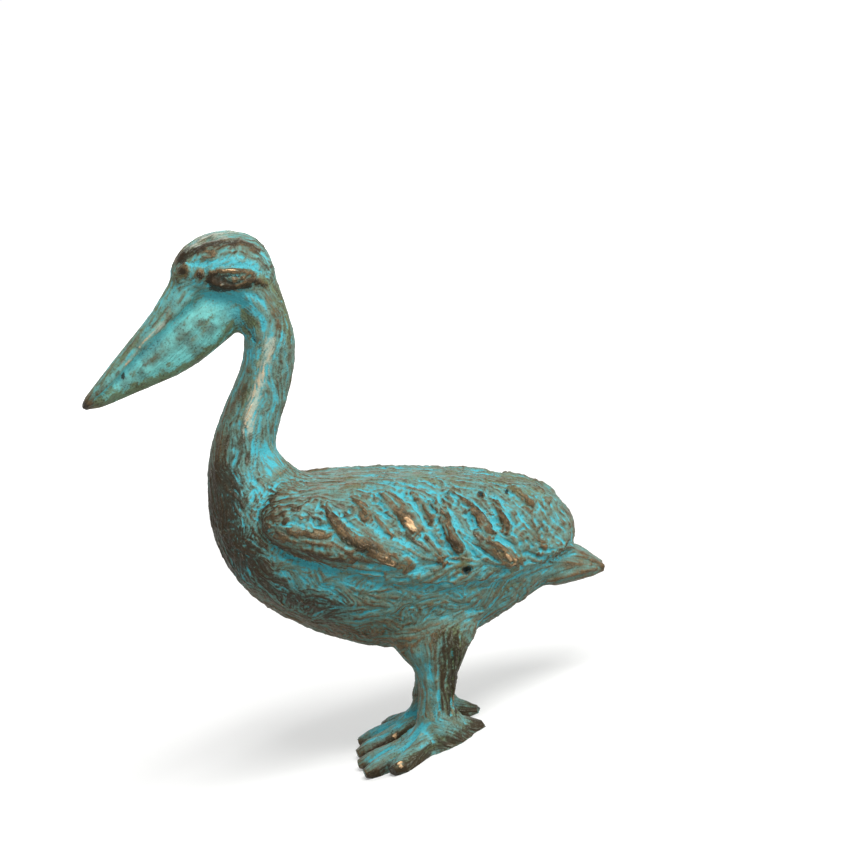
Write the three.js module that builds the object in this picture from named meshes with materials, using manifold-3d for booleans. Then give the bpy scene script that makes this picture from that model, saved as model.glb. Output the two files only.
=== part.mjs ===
// A small brass pelican, standing, with its wings folded. Millimetres, +Z up.
// The bird looks along -X and its left side is -Y. It rests on its two soles at z = 0.
// It is built as the wax pieces of such a casting are: each one is a closed solid,
// seated in its neighbour on a pin, with a soldering gap all round.

import * as THREE from 'three';
import { mergeVertices } from 'three/addons/utils/BufferGeometryUtils.js';
import Module from 'manifold-3d';

const wasm = await Module();
wasm.setup();

const { degToRad, lerp } = THREE.MathUtils;

// The whole figure, from the bill's tip to the tail's and from the soles to the crown
const FIGURE_LENGTH = 61.4;
const FIGURE_HEIGHT = 80.3;

// Gap between two pieces, and the pins that seat them
const JOINT_GAP = 0.3;
const SPIGOT_REACH = 4;
const NECK_SPIGOT_RADIUS = 2.7;
const HEAD_SPIGOT_RADIUS = 2;
const BILL_PIN_RADIUS = 1.2;
const TAIL_PIN_RADIUS = 1.4;
const TAIL_PIN_LENGTH = 6;
const THIGH_PIN_RADIUS = 1.5;
const ANKLE_PIN_RADIUS = 1.3;
const ANKLE_PIN_FOOT = 1.8;
const ANKLE_PIN_LENGTH = 6;
const WING_PIN_RADIUS = 1;
const WING_PIN_DEPTH = 2.4;

// Half widths of the trunk, from the neck to the vent
const NECK_ROOT_HALF_WIDTH = 5.4;
const BREAST_HALF_WIDTH = 9.9;
const BODY_HALF_WIDTH = 11.4;
const RUMP_HALF_WIDTH = 8.6;
const VENT_HALF_WIDTH = 4.4;

// Half widths of the neck, head and bill
const NECK_HALF_WIDTH = 3.8;
const NAPE_HALF_WIDTH = 4;
const SKULL_HALF_WIDTH = 5;
const FOREHEAD_HALF_WIDTH = 2.6;
const BILL_HALF_WIDTH = 3.5;
const BILL_TIP_HALF_WIDTH = 1;
const POUCH_HALF_WIDTH = 3.7;
const POUCH_KEEL = 0.38;

// Eyes, brows and the feather cap over the bill
const EYE = { length: 6.5, width: 3.1, height: 1 };
const BROW = { length: 8, width: 2.2, height: 0.5 };
const CAP = { length: 4.2, width: 5, height: 0.8 };
const EYE_INSET = 0.4;
const BROW_INSET = 1.1;

// Wings
const WING_THICKNESS = 1.1;
const WING_TOP_EDGE = 0.35;
const WING_LOWER_EDGE = 0.6;
const SHOULDER_HEIGHT = 1.8;
const ARM_HEIGHT = 1.1;
const FEATHER_LENGTH = 7.6;
const FEATHER_WIDTH = 3;
const FEATHER_HEIGHT = 1;

// Tail
const TAIL_HALF_WIDTH = 4.4;
const TAIL_TIP_HALF_WIDTH = 1.4;

// Legs and feet
const LEG_SPREAD = 5.2;
const SHANK_HALF_WIDTH = 2.4;
const THIGH_HALF_WIDTH = 3.7;
const FOOT_SPLAY = degToRad(13);
const TOE_SPREAD = degToRad(24);
const TOE_HALF_WIDTH = 1.6;
const TOE_HEIGHT = 2.2;
const TOE_LIFT = 0.3;
const MIDDLE_TOE_LENGTH = 12.9;
const OUTER_TOE_LENGTH = 10.7;
const INNER_TOE_LENGTH = 13.4;
const HEEL_LENGTH = 5.8;
const HEEL_TIP_HALF_WIDTH = 0.9;
const INSTEP_HEIGHT = 4;
const WEB_THICKNESS = 1.1;

const PATINA = { color: 0x58a8a4, roughness: 0.62, metalness: 0.45 };
const WORN_BRONZE = { color: 0x6b5a41, roughness: 0.5, metalness: 0.7 };

// A place in the side view, in percent: of the length from the middle, and of the height.
const place = (along, up, y = 0) => (
  new THREE.Vector3(FIGURE_LENGTH * along / 100, y, FIGURE_HEIGHT * up / 100));

// A section is one oval: the two points where it crosses the side outline, its half width,
// and its fullness, which is 2 for an ellipse and more for a squarer oval.
const section = (under, over, wide, fullness = 2) => ({
  under,
  over,
  shape: new THREE.Vector3(wide, fullness, 0),
});

// A station is a section between two places in the side view.
const station = (underX, underZ, overX, overZ, wide, fullness) => (
  section(place(underX, underZ), place(overX, overZ), wide, fullness));

const mean = (a, b) => (a + b) / 2;

// Where the foot's centre stands under the leg, in percent of the length
const FOOT_PLACE = 0.8;

// Stations that two pieces share where they meet
const NECK_ROOT = station(-30.1, 57.4, -11.4, 58.3, NECK_ROOT_HALF_WIDTH);
const NAPE = station(-8.8, 85.9, 2.8, 87.9, NAPE_HALF_WIDTH);
const ANKLE = station(-4.4, 5.7, 5.2, 6.2, SHANK_HALF_WIDTH);

const BODY_STATIONS = [
  NECK_ROOT,
  station(-32.1, 51.8, -8.0, 53.9, mean(NECK_ROOT_HALF_WIDTH, BREAST_HALF_WIDTH)),
  station(-32.6, 46.3, -2.1, 52.1, BREAST_HALF_WIDTH),
  station(-31.4, 40.8, 4.4, 50.4, mean(BREAST_HALF_WIDTH, BODY_HALF_WIDTH)),
  station(-28.5, 35.6, 10.9, 48.6, BODY_HALF_WIDTH),
  station(-23.0, 30.0, 18.7, 46.2, BODY_HALF_WIDTH),
  station(-16.1, 24.9, 26.7, 43.6, BODY_HALF_WIDTH),
  station(-6.2, 19.7, 35.0, 40.3, mean(BODY_HALF_WIDTH, RUMP_HALF_WIDTH)),
  station(5.4, 16.7, 41.7, 37.2, RUMP_HALF_WIDTH),
  station(16.4, 16.3, 45.8, 32.9, mean(RUMP_HALF_WIDTH, VENT_HALF_WIDTH)),
  station(25.6, 17.7, 47.1, 29.0, 1.23 * VENT_HALF_WIDTH),
  station(34.0, 19.4, 46.1, 25.9, 0.82 * VENT_HALF_WIDTH),
];

const NECK_STATIONS = [
  NECK_ROOT,
  station(-27.5, 62.1, -11.4, 60.6, mean(NECK_ROOT_HALF_WIDTH, NECK_HALF_WIDTH)),
  station(-23.5, 66.6, -8.3, 64.4, 1.1 * NECK_HALF_WIDTH),
  station(-18.7, 70.7, -4.1, 68.6, NECK_HALF_WIDTH),
  station(-14.5, 74.0, -0.7, 72.7, NECK_HALF_WIDTH),
  station(-10.7, 77.7, 1.6, 77.1, NECK_HALF_WIDTH),
  station(-8.8, 81.7, 2.4, 82.3, NECK_HALF_WIDTH),
  NAPE,
];

const HEAD_STATIONS = [
  NAPE,
  station(-9.9, 87.4, 3.3, 91.8, mean(NAPE_HALF_WIDTH, SKULL_HALF_WIDTH)),
  station(-11.6, 88.5, 2.0, 95.9, SKULL_HALF_WIDTH),
  station(-13.4, 89.4, -2.8, 99.0, SKULL_HALF_WIDTH),
  station(-15.1, 90.2, -9.3, 100.0, 0.94 * SKULL_HALF_WIDTH),
  station(-16.8, 90.9, -14.8, 99.1, 0.82 * SKULL_HALF_WIDTH),
  station(-18.1, 91.5, -18.4, 97.0, mean(SKULL_HALF_WIDTH, FOREHEAD_HALF_WIDTH)),
  station(-19.1, 92.2, -19.9, 95.0, FOREHEAD_HALF_WIDTH),
];

// The upper bill starts inside the head and narrows to the nail at its tip.
const BILL_STATIONS = [
  station(-12.5, 91.2, -15.1, 95.9, BILL_HALF_WIDTH, 2.4),
  station(-17.8, 89.2, -20.4, 94.4, BILL_HALF_WIDTH, 2.4),
  station(-23.9, 87.0, -26.5, 90.7, 0.91 * BILL_HALF_WIDTH, 2.6),
  station(-30.8, 84.7, -33.1, 87.7, 0.8 * BILL_HALF_WIDTH, 2.6),
  station(-37.6, 82.3, -39.7, 84.7, 0.69 * BILL_HALF_WIDTH, 2.6),
  station(-43.5, 80.4, -45.1, 82.2, 0.57 * BILL_HALF_WIDTH, 2.4),
  station(-47.2, 78.8, -48.5, 80.6, 1.6 * BILL_TIP_HALF_WIDTH),
  station(-49.3, 78.1, -50.0, 79.3, BILL_TIP_HALF_WIDTH),
];

// The pouch hangs from the gape as a keel that is widest at the top.
const POUCH_STATIONS = [
  station(-7.3, 82.7, -6.4, 88.4, 0.84 * POUCH_HALF_WIDTH),
  station(-13.5, 81.1, -11.9, 90.4, POUCH_HALF_WIDTH),
  station(-20.7, 79.3, -18.4, 89.9, POUCH_HALF_WIDTH),
  station(-26.9, 78.5, -25.2, 87.7, 0.89 * POUCH_HALF_WIDTH),
  station(-33.7, 78.3, -32.1, 85.4, 0.76 * POUCH_HALF_WIDTH),
  station(-40.2, 78.1, -38.9, 82.9, 0.62 * POUCH_HALF_WIDTH),
  station(-45.1, 78.0, -44.5, 80.7, 1.7 * BILL_TIP_HALF_WIDTH),
  station(-47.9, 78.2, -47.7, 79.2, BILL_TIP_HALF_WIDTH),
];

const TAIL_STATIONS = [
  station(30.9, 21.7, 35.0, 26.9, 0.64 * TAIL_HALF_WIDTH, 2.6),
  station(37.0, 18.9, 40.9, 25.9, TAIL_HALF_WIDTH, 3),
  station(41.2, 18.2, 44.5, 24.4, 0.86 * TAIL_HALF_WIDTH, 3),
  station(46.4, 17.6, 48.0, 21.4, 1.86 * TAIL_TIP_HALF_WIDTH, 2.6),
  station(49.3, 17.6, 50.0, 19.1, TAIL_TIP_HALF_WIDTH, 2.2),
];

const LEG_STATIONS = [
  ANKLE,
  station(-2.0, 9.0, 7.2, 8.7, SHANK_HALF_WIDTH),
  station(-0.5, 12.2, 9.0, 11.5, 1.08 * SHANK_HALF_WIDTH),
  station(-0.5, 15.4, 12.5, 14.4, mean(SHANK_HALF_WIDTH, THIGH_HALF_WIDTH)),
  station(-2.4, 18.9, 17.1, 17.7, THIGH_HALF_WIDTH),
  station(-3.4, 22.9, 18.7, 21.9, 0.86 * THIGH_HALF_WIDTH),
  station(-0.8, 26.2, 16.4, 25.7, 0.57 * THIGH_HALF_WIDTH),
];

const INSTEP_STATIONS = [
  ANKLE,
  station(-6.0, 3.2, 6.4, 3.5, 1.17 * SHANK_HALF_WIDTH),
  station(-9.9, -1.0, 7.7, -1.0, 1.58 * SHANK_HALF_WIDTH),
];

// How finely each form is faceted
const BODY_GRID = { rings: 26, sides: 30 };
const NECK_GRID = { rings: 20, sides: 18 };
const HEAD_GRID = { rings: 14, sides: 20 };
const BILL_GRID = { rings: 14, sides: 14 };
const POUCH_GRID = { rings: 14, sides: 14, keel: POUCH_KEEL };
const TAIL_GRID = { rings: 8, sides: 14 };
const LEG_GRID = { rings: 10, sides: 14 };
const INSTEP_GRID = { rings: 5, sides: 14 };
const TOE_GRID = { rings: 9, sides: 10 };
const WING_GRID = { rings: 22, outer: 13, inner: 6 };
const PIN_SIDES = 12;
const LUMP_SIDES = 8;
const LUMP_RINGS = 6;

// Reads the section of a row of stations at u, which runs from 0 at the first to 1 at the last.
function sectionReader(stations) {
  const rail = (key) => new THREE.CatmullRomCurve3(stations.map((entry) => entry[key]));
  const rails = { under: rail('under'), over: rail('over'), shape: rail('shape') };
  return (u) => {
    const under = rails.under.getPoint(u);
    const over = rails.over.getPoint(u);
    const shape = rails.shape.getPoint(u);
    const centre = under.clone().add(over).multiplyScalar(0.5);
    const along = over.clone().sub(centre);
    return { centre, half: along.length(), along: along.normalize(), wide: shape.x, fullness: shape.y };
  };
}

// A point of a section's rim. The angle is 0 at the over side, and a keel narrows the under side.
function rimPoint(section, angle, grow = 0, keel = 0) {
  const swell = (value) => Math.sign(value) * Math.abs(value) ** (2 / section.fullness);
  const up = swell(Math.cos(angle));
  const point = section.centre.clone().addScaledVector(section.along, up * (section.half + grow));
  point.y = swell(Math.sin(angle)) * (section.wide + grow) * (1 + keel * (up - 1) / 2);
  return point;
}

const middleOf = (ring) => ring
  .reduce((sum, point) => sum.add(point), new THREE.Vector3())
  .divideScalar(ring.length);

// Turns the faces of a closed skin so that they all point out.
function outward(geometry) {
  const place = geometry.getAttribute('position');
  const index = geometry.getIndex().array;
  const corner = (k) => new THREE.Vector3().fromBufferAttribute(place, index[k]);
  let volume = 0;
  for (let k = 0; k < index.length; k += 3) {
    volume += corner(k).dot(corner(k + 1).cross(corner(k + 2)));
  }
  if (volume < 0) {
    for (let k = 0; k < index.length; k += 3) {
      [index[k], index[k + 1]] = [index[k + 1], index[k]];
    }
  }
  return geometry;
}

// Closes rings of points, all of one length, into a skin with a fan over each end.
function skin(rings) {
  const count = rings[0].length;
  const points = [...rings.flat(), middleOf(rings[0]), middleOf(rings.at(-1))];
  const last = (rings.length - 1) * count;
  const firstPole = last + count;
  const index = [];
  for (let side = 0; side < count; side += 1) {
    const next = (side + 1) % count;
    for (let ring = 0; ring < last; ring += count) {
      const above = ring + count;
      index.push(ring + side, ring + next, above + side, ring + next, above + next, above + side);
    }
    index.push(firstPole, next, side, firstPole + 1, last + side, last + next);
  }
  return outward(new THREE.BufferGeometry()
    .setAttribute('position', new THREE.Float32BufferAttribute(points.flatMap((point) => point.toArray()), 3))
    .setIndex(index));
}

// Moves an end ring outwards, away from the ring next to it.
function pushEnd(ring, neighbour, distance) {
  const away = middleOf(ring).sub(middleOf(neighbour)).setLength(distance);
  ring.forEach((point) => point.add(away));
}

// Skins a row of stations. A start gap shortens it there, and grow swells it all round.
function loft(stations, { rings, sides, grow = 0, keel = 0, startGap = 0 }) {
  const read = sectionReader(stations);
  const firstStep = 1 / (stations.length - 1);
  const start = firstStep * startGap / read(0).centre.distanceTo(read(firstStep).centre);
  const loops = [];
  for (let ring = 0; ring <= rings; ring += 1) {
    const section = read(lerp(start, 1, ring / rings));
    const turn = (side) => 2 * Math.PI * side / sides;
    loops.push(Array.from({ length: sides }, (_, side) => rimPoint(section, turn(side), grow, keel)));
  }
  if (grow > 0) {
    pushEnd(loops[0], loops[1], grow);
    pushEnd(loops.at(-1), loops.at(-2), grow);
  }
  return skin(loops);
}

// A round pin between two points. Its socket is the same pin, grown by the gap.
function pin(from, to, radius, grow = 0) {
  const axis = to.clone().sub(from);
  const centre = from.clone().add(to).multiplyScalar(0.5);
  const turn = new THREE.Quaternion().setFromUnitVectors(new THREE.Vector3(0, 1, 0), axis.clone().normalize());
  return new THREE.CylinderGeometry(radius + grow, radius + grow, axis.length() + 2 * grow, PIN_SIDES)
    .applyQuaternion(turn)
    .translate(...centre.toArray());
}

// A long low lump that stands on a surface, with a shallow root below it
function lump(centre, forward, outwards, { length, width, height }) {
  const rootShare = 0.3;
  const geometry = new THREE.SphereGeometry(0.5, LUMP_SIDES, LUMP_RINGS).rotateZ(Math.PI / 2);
  const place = geometry.getAttribute('position');
  for (let k = 0; k < place.count; k += 1) {
    place.setZ(k, place.getZ(k) * (place.getZ(k) < 0 ? rootShare : 1));
  }
  const side = outwards.clone().cross(forward).normalize();
  const along = side.clone().cross(outwards).normalize();
  const frame = new THREE.Matrix4().makeBasis(along, side, outwards.clone().normalize());
  return geometry
    .scale(length, width, 2 * height)
    .applyMatrix4(frame)
    .translate(...centre.toArray());
}

// Keeps only merged positions, which is what a closed solid needs.
function merged(geometry) {
  const bare = geometry.clone();
  bare.deleteAttribute('normal');
  bare.deleteAttribute('uv');
  return mergeVertices(bare, 1e-5);
}

function solid(geometry) {
  const bare = merged(geometry);
  return new wasm.Manifold(new wasm.Mesh({
    numProp: 3,
    vertProperties: new Float32Array(bare.getAttribute('position').array),
    triVerts: new Uint32Array(bare.getIndex().array),
  }));
}

const mirrored = (geometry) => outward(merged(geometry).scale(1, -1, 1));
const joined = (base, ...geometries) => geometries.reduce((sum, entry) => sum.add(solid(entry)), base);
const cut = (base, ...geometries) => geometries.reduce((rest, entry) => rest.subtract(solid(entry)), base);

// Each neighbour's form, swollen by the gap, trims the pieces that sit on it.
const bodyRoom = loft(BODY_STATIONS, { ...BODY_GRID, grow: JOINT_GAP });
const neckRoom = loft(NECK_STATIONS, { ...NECK_GRID, grow: JOINT_GAP });
const headRoom = loft(HEAD_STATIONS, { ...HEAD_GRID, grow: JOINT_GAP });
const billRoom = loft(BILL_STATIONS, { ...BILL_GRID, grow: JOINT_GAP });

// The pins, each as a function of how much it is grown
function spigot(stations, radius) {
  const read = sectionReader(stations);
  const root = read(0).centre;
  const reach = read(0.02).centre.sub(root).setLength(SPIGOT_REACH);
  return (grow) => pin(root.clone().sub(reach), root.clone().add(reach), radius, grow);
}

const neckSpigot = spigot(NECK_STATIONS, NECK_SPIGOT_RADIUS);
const headSpigot = spigot(HEAD_STATIONS, HEAD_SPIGOT_RADIUS);

function billPin(grow) {
  const read = sectionReader(BILL_STATIONS);
  const root = read(0.2).centre;
  const reach = read(0.1).centre.sub(root).setLength(SPIGOT_REACH);
  return pin(root, root.clone().add(reach), BILL_PIN_RADIUS, grow);
}

function tailPin(grow) {
  const root = sectionReader(TAIL_STATIONS)(0.25).centre;
  const into = new THREE.Vector3(-3, 0, 1).setLength(TAIL_PIN_LENGTH);
  return pin(root, root.clone().add(into), TAIL_PIN_RADIUS, grow);
}

function thighPin(grow) {
  const knee = place(7.3, 14.9, -LEG_SPREAD);
  const top = place(7.3, 24.9, -LEG_SPREAD);
  return pin(knee, top, THIGH_PIN_RADIUS, grow);
}

function anklePin(grow) {
  const inFoot = place(FOOT_PLACE, 0, -LEG_SPREAD).setZ(ANKLE_PIN_FOOT);
  const upwards = new THREE.Vector3(0.1, 0, 1).setLength(ANKLE_PIN_LENGTH);
  return pin(inFoot, inFoot.clone().add(upwards), ANKLE_PIN_RADIUS, grow);
}

// Wing: a shell that follows the flank of the body. Along it s runs from 0 at the shoulder
// to 1 at the tip, and across it t runs from 0 at the back to 1 at the lower edge.
const WING_REACH = [0.085, 0.93];
const readBody = sectionReader(BODY_STATIONS);

function wingEdges(s) {
  const opening = (1 - Math.abs(2 * s - 1) ** 5) ** 0.5;
  const middle = degToRad(lerp(74, 58, s ** 0.6));
  const top = degToRad(lerp(30, 14, Math.min(1, 2.5 * s)));
  const bottom = degToRad(lerp(102, 90, s));
  return [lerp(middle, top, opening), lerp(middle, bottom, opening)];
}

// The plate is thin at its edges. The shoulder stands out in front, and the arm along the lower edge.
function wingThickness(s, t) {
  const bell = (value, centre, spread) => Math.exp(-(((value - centre) / spread) ** 2));
  const plate = (1 - Math.abs(2 * t - 1) ** 3) ** 0.6;
  const shoulder = SHOULDER_HEIGHT * bell(s, 0.1, 0.14) * bell(t, 0.66, 0.38);
  const arm = ARM_HEIGHT * bell(s, 0.32, 0.2) * bell(t, 0.84, 0.14);
  const front = Math.sqrt(1 - (1 - Math.min(1, 10 * s)) ** 2);
  const edge = lerp(WING_TOP_EDGE, WING_LOWER_EDGE, t);
  return edge + (WING_THICKNESS - edge + shoulder + arm) * plate * front;
}

function wingPoint(s, t, height) {
  const [top, bottom] = wingEdges(s);
  const point = rimPoint(readBody(lerp(...WING_REACH, s)), lerp(top, bottom, t), JOINT_GAP + height);
  point.y *= -1;
  return point;
}

const wingSurface = (s, t) => wingPoint(s, t, wingThickness(s, t));

function wingShell() {
  const { rings, outer, inner } = WING_GRID;
  const loops = [];
  for (let ring = 0; ring <= rings; ring += 1) {
    const s = lerp(0.004, 0.996, ring / rings);
    const outside = Array.from({ length: outer + 1 }, (_, k) => wingSurface(s, k / outer));
    const inside = Array.from({ length: inner + 1 }, (_, k) => wingPoint(s, 1 - k / inner, 0));
    loops.push([...outside, ...inside]);
  }
  return skin(loops);
}

// Feathers stand on the wing and fall steeply towards the tail.
// Each has its place (s, t), its share of the full length and width, and its slope in degrees
// below level.
const FEATHERS = [
  [0.25, 0.60, 0.74, 0.57, 76],
  [0.28, 0.42, 0.55, 0.50, 76],
  [0.34, 0.72, 0.58, 0.57, 56],
  [0.43, 0.80, 1.05, 0.90, 50],
  [0.41, 0.45, 0.95, 0.87, 72],
  [0.46, 0.35, 0.74, 0.57, 76],
  [0.56, 0.54, 1.00, 0.57, 88],
  [0.59, 0.40, 1.00, 0.53, 71],
  [0.72, 0.71, 1.00, 1.00, 60],
  [0.68, 0.43, 0.58, 0.50, 86],
  [0.72, 0.22, 0.58, 0.60, 76],
];

function feather([s, t, longShare, wideShare, slope]) {
  const step = 0.02;
  const centre = wingSurface(s, t);
  const towardsTail = wingSurface(s + step, t).sub(centre);
  const towardsEdge = wingSurface(s, t + step).sub(centre);
  const outwards = towardsTail.cross(towardsEdge).normalize();
  const fall = new THREE.Vector3(Math.cos(degToRad(slope)), 0, -Math.sin(degToRad(slope)));
  const length = longShare * FEATHER_LENGTH;
  const width = wideShare * FEATHER_WIDTH;
  return lump(centre, fall, outwards, { length, width, height: FEATHER_HEIGHT });
}

const WING_PIN_PLACES = [[0.22, 0.6], [0.72, 0.6]];
const wingPins = (grow) => WING_PIN_PLACES.map(([s, t]) => (
  pin(wingPoint(s, t, WING_LOWER_EDGE), wingPoint(s, t, -WING_PIN_DEPTH), WING_PIN_RADIUS, grow)));

const makeWing = () => joined(solid(wingShell()), ...FEATHERS.map(feather), ...wingPins(0));

// The body has a socket for every pin that it takes.
function makeBody() {
  const oneSide = [thighPin(JOINT_GAP), ...wingPins(JOINT_GAP)];
  const form = solid(loft(BODY_STATIONS, { ...BODY_GRID, startGap: JOINT_GAP }));
  return cut(form, neckSpigot(JOINT_GAP), tailPin(JOINT_GAP), ...oneSide, ...oneSide.map(mirrored));
}

const makeNeck = () => joined(solid(loft(NECK_STATIONS, NECK_GRID)), neckSpigot(0), headSpigot(0));

const featherCap = lump(place(-17.9, 95.5), new THREE.Vector3(1, 0, 1.4), new THREE.Vector3(-1.4, 0, 1), CAP);

function makeHead() {
  const eyePlace = place(-6.2, 91.9, EYE_INSET - SKULL_HALF_WIDTH);
  const browPlace = place(-9.9, 96.4, BROW_INSET - SKULL_HALF_WIDTH);
  const eye = lump(eyePlace, new THREE.Vector3(1, 0, -0.25), new THREE.Vector3(0, -1, 0.1), EYE);
  const brow = lump(browPlace, new THREE.Vector3(1, 0, -0.1), new THREE.Vector3(0, -1, 0.6), BROW);
  const skull = solid(loft(HEAD_STATIONS, { ...HEAD_GRID, startGap: JOINT_GAP }));
  const head = joined(skull, featherCap, eye, brow, mirrored(eye), mirrored(brow));
  return cut(head, headSpigot(JOINT_GAP), billPin(JOINT_GAP));
}

function makeUpperBill() {
  const blade = cut(solid(loft(BILL_STATIONS, BILL_GRID)), headRoom, featherCap);
  return joined(blade, billPin(0));
}

const makePouch = () => cut(solid(loft(POUCH_STATIONS, POUCH_GRID)), billRoom, headRoom, neckRoom);

const makeTail = () => joined(cut(solid(loft(TAIL_STATIONS, TAIL_GRID)), bodyRoom), tailPin(0));

// A leg flares into the belly and has a pin at both ends.
function makeLeg() {
  const form = loft(LEG_STATIONS, LEG_GRID).translate(0, -LEG_SPREAD, 0);
  return joined(cut(solid(form), bodyRoom), thighPin(0), anklePin(0));
}

// A section across a foot, between two heights. The part below the ground is cut off later.
const footSection = (x, low, high, wide) => (
  section(new THREE.Vector3(x, 0, low), new THREE.Vector3(x, 0, high), wide));

// A toe along -X from the foot's centre, turned outwards by an angle
function toe(length, angle) {
  const stations = [
    footSection(0.04 * length, -1, 0.9 * INSTEP_HEIGHT, TOE_HALF_WIDTH),
    footSection(-0.25 * length, -1, 0.85 * INSTEP_HEIGHT, 0.9 * TOE_HALF_WIDTH),
    footSection(-0.55 * length, -1, 1.2 * TOE_HEIGHT, 0.9 * TOE_HALF_WIDTH),
    footSection(-0.85 * length, -1, TOE_HEIGHT, TOE_HALF_WIDTH),
    footSection(-length, TOE_LIFT, 0.7 * TOE_HEIGHT, 0.5 * TOE_HALF_WIDTH),
  ];
  return loft(stations, TOE_GRID).rotateZ(angle);
}

function heel() {
  const stations = [
    footSection(-0.2 * HEEL_LENGTH, -1, INSTEP_HEIGHT, SHANK_HALF_WIDTH),
    footSection(0.48 * HEEL_LENGTH, -1, 0.8 * INSTEP_HEIGHT, 0.9 * SHANK_HALF_WIDTH),
    footSection(HEEL_LENGTH, -0.8, HEEL_TIP_HALF_WIDTH, HEEL_TIP_HALF_WIDTH),
  ];
  return loft(stations, TOE_GRID);
}

// The web is a low tent: its edge runs from the heel round the toes, and it rises to the ankle.
function web() {
  const reach = (length, angle) => [-length * Math.cos(angle), -length * Math.sin(angle)];
  const outline = new THREE.Shape();
  outline.moveTo(0.9 * HEEL_LENGTH, 0);
  outline.lineTo(...reach(0.94 * OUTER_TOE_LENGTH, TOE_SPREAD));
  outline.quadraticCurveTo(
    ...reach(0.8 * OUTER_TOE_LENGTH, 0.55 * TOE_SPREAD),
    ...reach(0.92 * MIDDLE_TOE_LENGTH, 0),
  );
  outline.quadraticCurveTo(
    ...reach(0.8 * INNER_TOE_LENGTH, -0.5 * TOE_SPREAD),
    ...reach(0.94 * INNER_TOE_LENGTH, -TOE_SPREAD),
  );
  const edge = outline.getPoints(4);
  const levels = [[1, -1], [1, WEB_THICKNESS], [0.62, 1.8 * WEB_THICKNESS], [0.3, 0.95 * INSTEP_HEIGHT]];
  return skin(levels.map(([share, height]) => (
    edge.map((point) => new THREE.Vector3(point.x * share, point.y * share, height)))));
}

function makeFoot() {
  const spread = [
    toe(MIDDLE_TOE_LENGTH, 0),
    toe(OUTER_TOE_LENGTH, TOE_SPREAD),
    toe(INNER_TOE_LENGTH, -TOE_SPREAD),
    heel(),
    web(),
  ].map((geometry) => geometry.rotateZ(FOOT_SPLAY).translate(...place(FOOT_PLACE, 0, -LEG_SPREAD)));
  const instep = loft(INSTEP_STATIONS, { ...INSTEP_GRID, startGap: JOINT_GAP }).translate(0, -LEG_SPREAD, 0);
  const groundDepth = 3;
  const ground = new THREE.BoxGeometry(60, 60, groundDepth).translate(0, 0, -groundDepth / 2);
  return cut(joined(solid(instep), ...spread), ground, anklePin(JOINT_GAP));
}

const figure = new THREE.Group();

function addPiece(name, geometry, finish) {
  geometry.computeVertexNormals();
  const mesh = new THREE.Mesh(geometry, new THREE.MeshStandardMaterial(finish));
  mesh.name = name;
  figure.add(mesh);
}

function skinOf(form) {
  const { vertProperties, triVerts } = form.getMesh();
  return new THREE.BufferGeometry()
    .setAttribute('position', new THREE.Float32BufferAttribute(vertProperties, 3))
    .setIndex(new THREE.Uint32BufferAttribute(triVerts, 1));
}

addPiece('body', skinOf(makeBody()), PATINA);
addPiece('neck', skinOf(makeNeck()), PATINA);
addPiece('head', skinOf(makeHead()), PATINA);
addPiece('upper_bill', skinOf(makeUpperBill()), WORN_BRONZE);
addPiece('pouch', skinOf(makePouch()), PATINA);
addPiece('tail', skinOf(makeTail()), PATINA);

// The right side mirrors the left.
const PAIRS = [['wing', makeWing, WORN_BRONZE], ['leg', makeLeg, PATINA], ['foot', makeFoot, PATINA]];
for (const [name, make, finish] of PAIRS) {
  const left = skinOf(make());
  addPiece(`right_${name}`, mirrored(left), finish);
  addPiece(`left_${name}`, left, finish);
}

// The origin lies in the ground plane, under the middle of the whole figure.
const middle = new THREE.Box3().setFromObject(figure).getCenter(new THREE.Vector3());
figure.position.set(-middle.x, -middle.y, 0);

export default figure;
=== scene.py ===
"""Dresses the pelican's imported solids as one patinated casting, on a pale studio floor."""

import math

import bpy
import numpy as np
from mathutils import Matrix, Vector
from mathutils.bvhtree import BVHTree


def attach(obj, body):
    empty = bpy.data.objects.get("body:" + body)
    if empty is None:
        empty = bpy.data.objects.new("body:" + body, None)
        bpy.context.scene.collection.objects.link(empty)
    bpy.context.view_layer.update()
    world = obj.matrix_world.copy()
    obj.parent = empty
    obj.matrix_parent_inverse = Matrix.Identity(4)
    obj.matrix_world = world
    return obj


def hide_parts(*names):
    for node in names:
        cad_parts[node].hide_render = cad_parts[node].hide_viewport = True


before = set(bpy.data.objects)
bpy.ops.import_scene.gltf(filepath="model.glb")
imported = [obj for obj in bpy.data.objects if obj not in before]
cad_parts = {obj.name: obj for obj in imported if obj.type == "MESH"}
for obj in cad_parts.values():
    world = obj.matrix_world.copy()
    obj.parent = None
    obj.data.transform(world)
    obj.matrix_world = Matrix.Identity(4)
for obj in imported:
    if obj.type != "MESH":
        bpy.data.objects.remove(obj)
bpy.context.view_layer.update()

bl_info = {
    "name": "Patinated pelican figurine",
    "version": (1, 0, 0),
    "blender": (4, 5, 0),
    "location": "3D View > Sidebar > Pelican",
    "description": "Dresses the packed pelican as one patinated casting on a studio floor",
    "category": "Object",
}

MM = 0.001
NODES = sorted(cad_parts)

# How far each part is softened from its faceted solid. Left and right pieces share one entry.
SOFTNESS = {
    "body": 1.0, "neck": 1.0, "head": 0.6, "upper_bill": 0.35, "pouch": 1.0, "tail": 0.7,
    "wing": 1.0, "leg": 0.8, "foot": 0.35,
}
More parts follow.
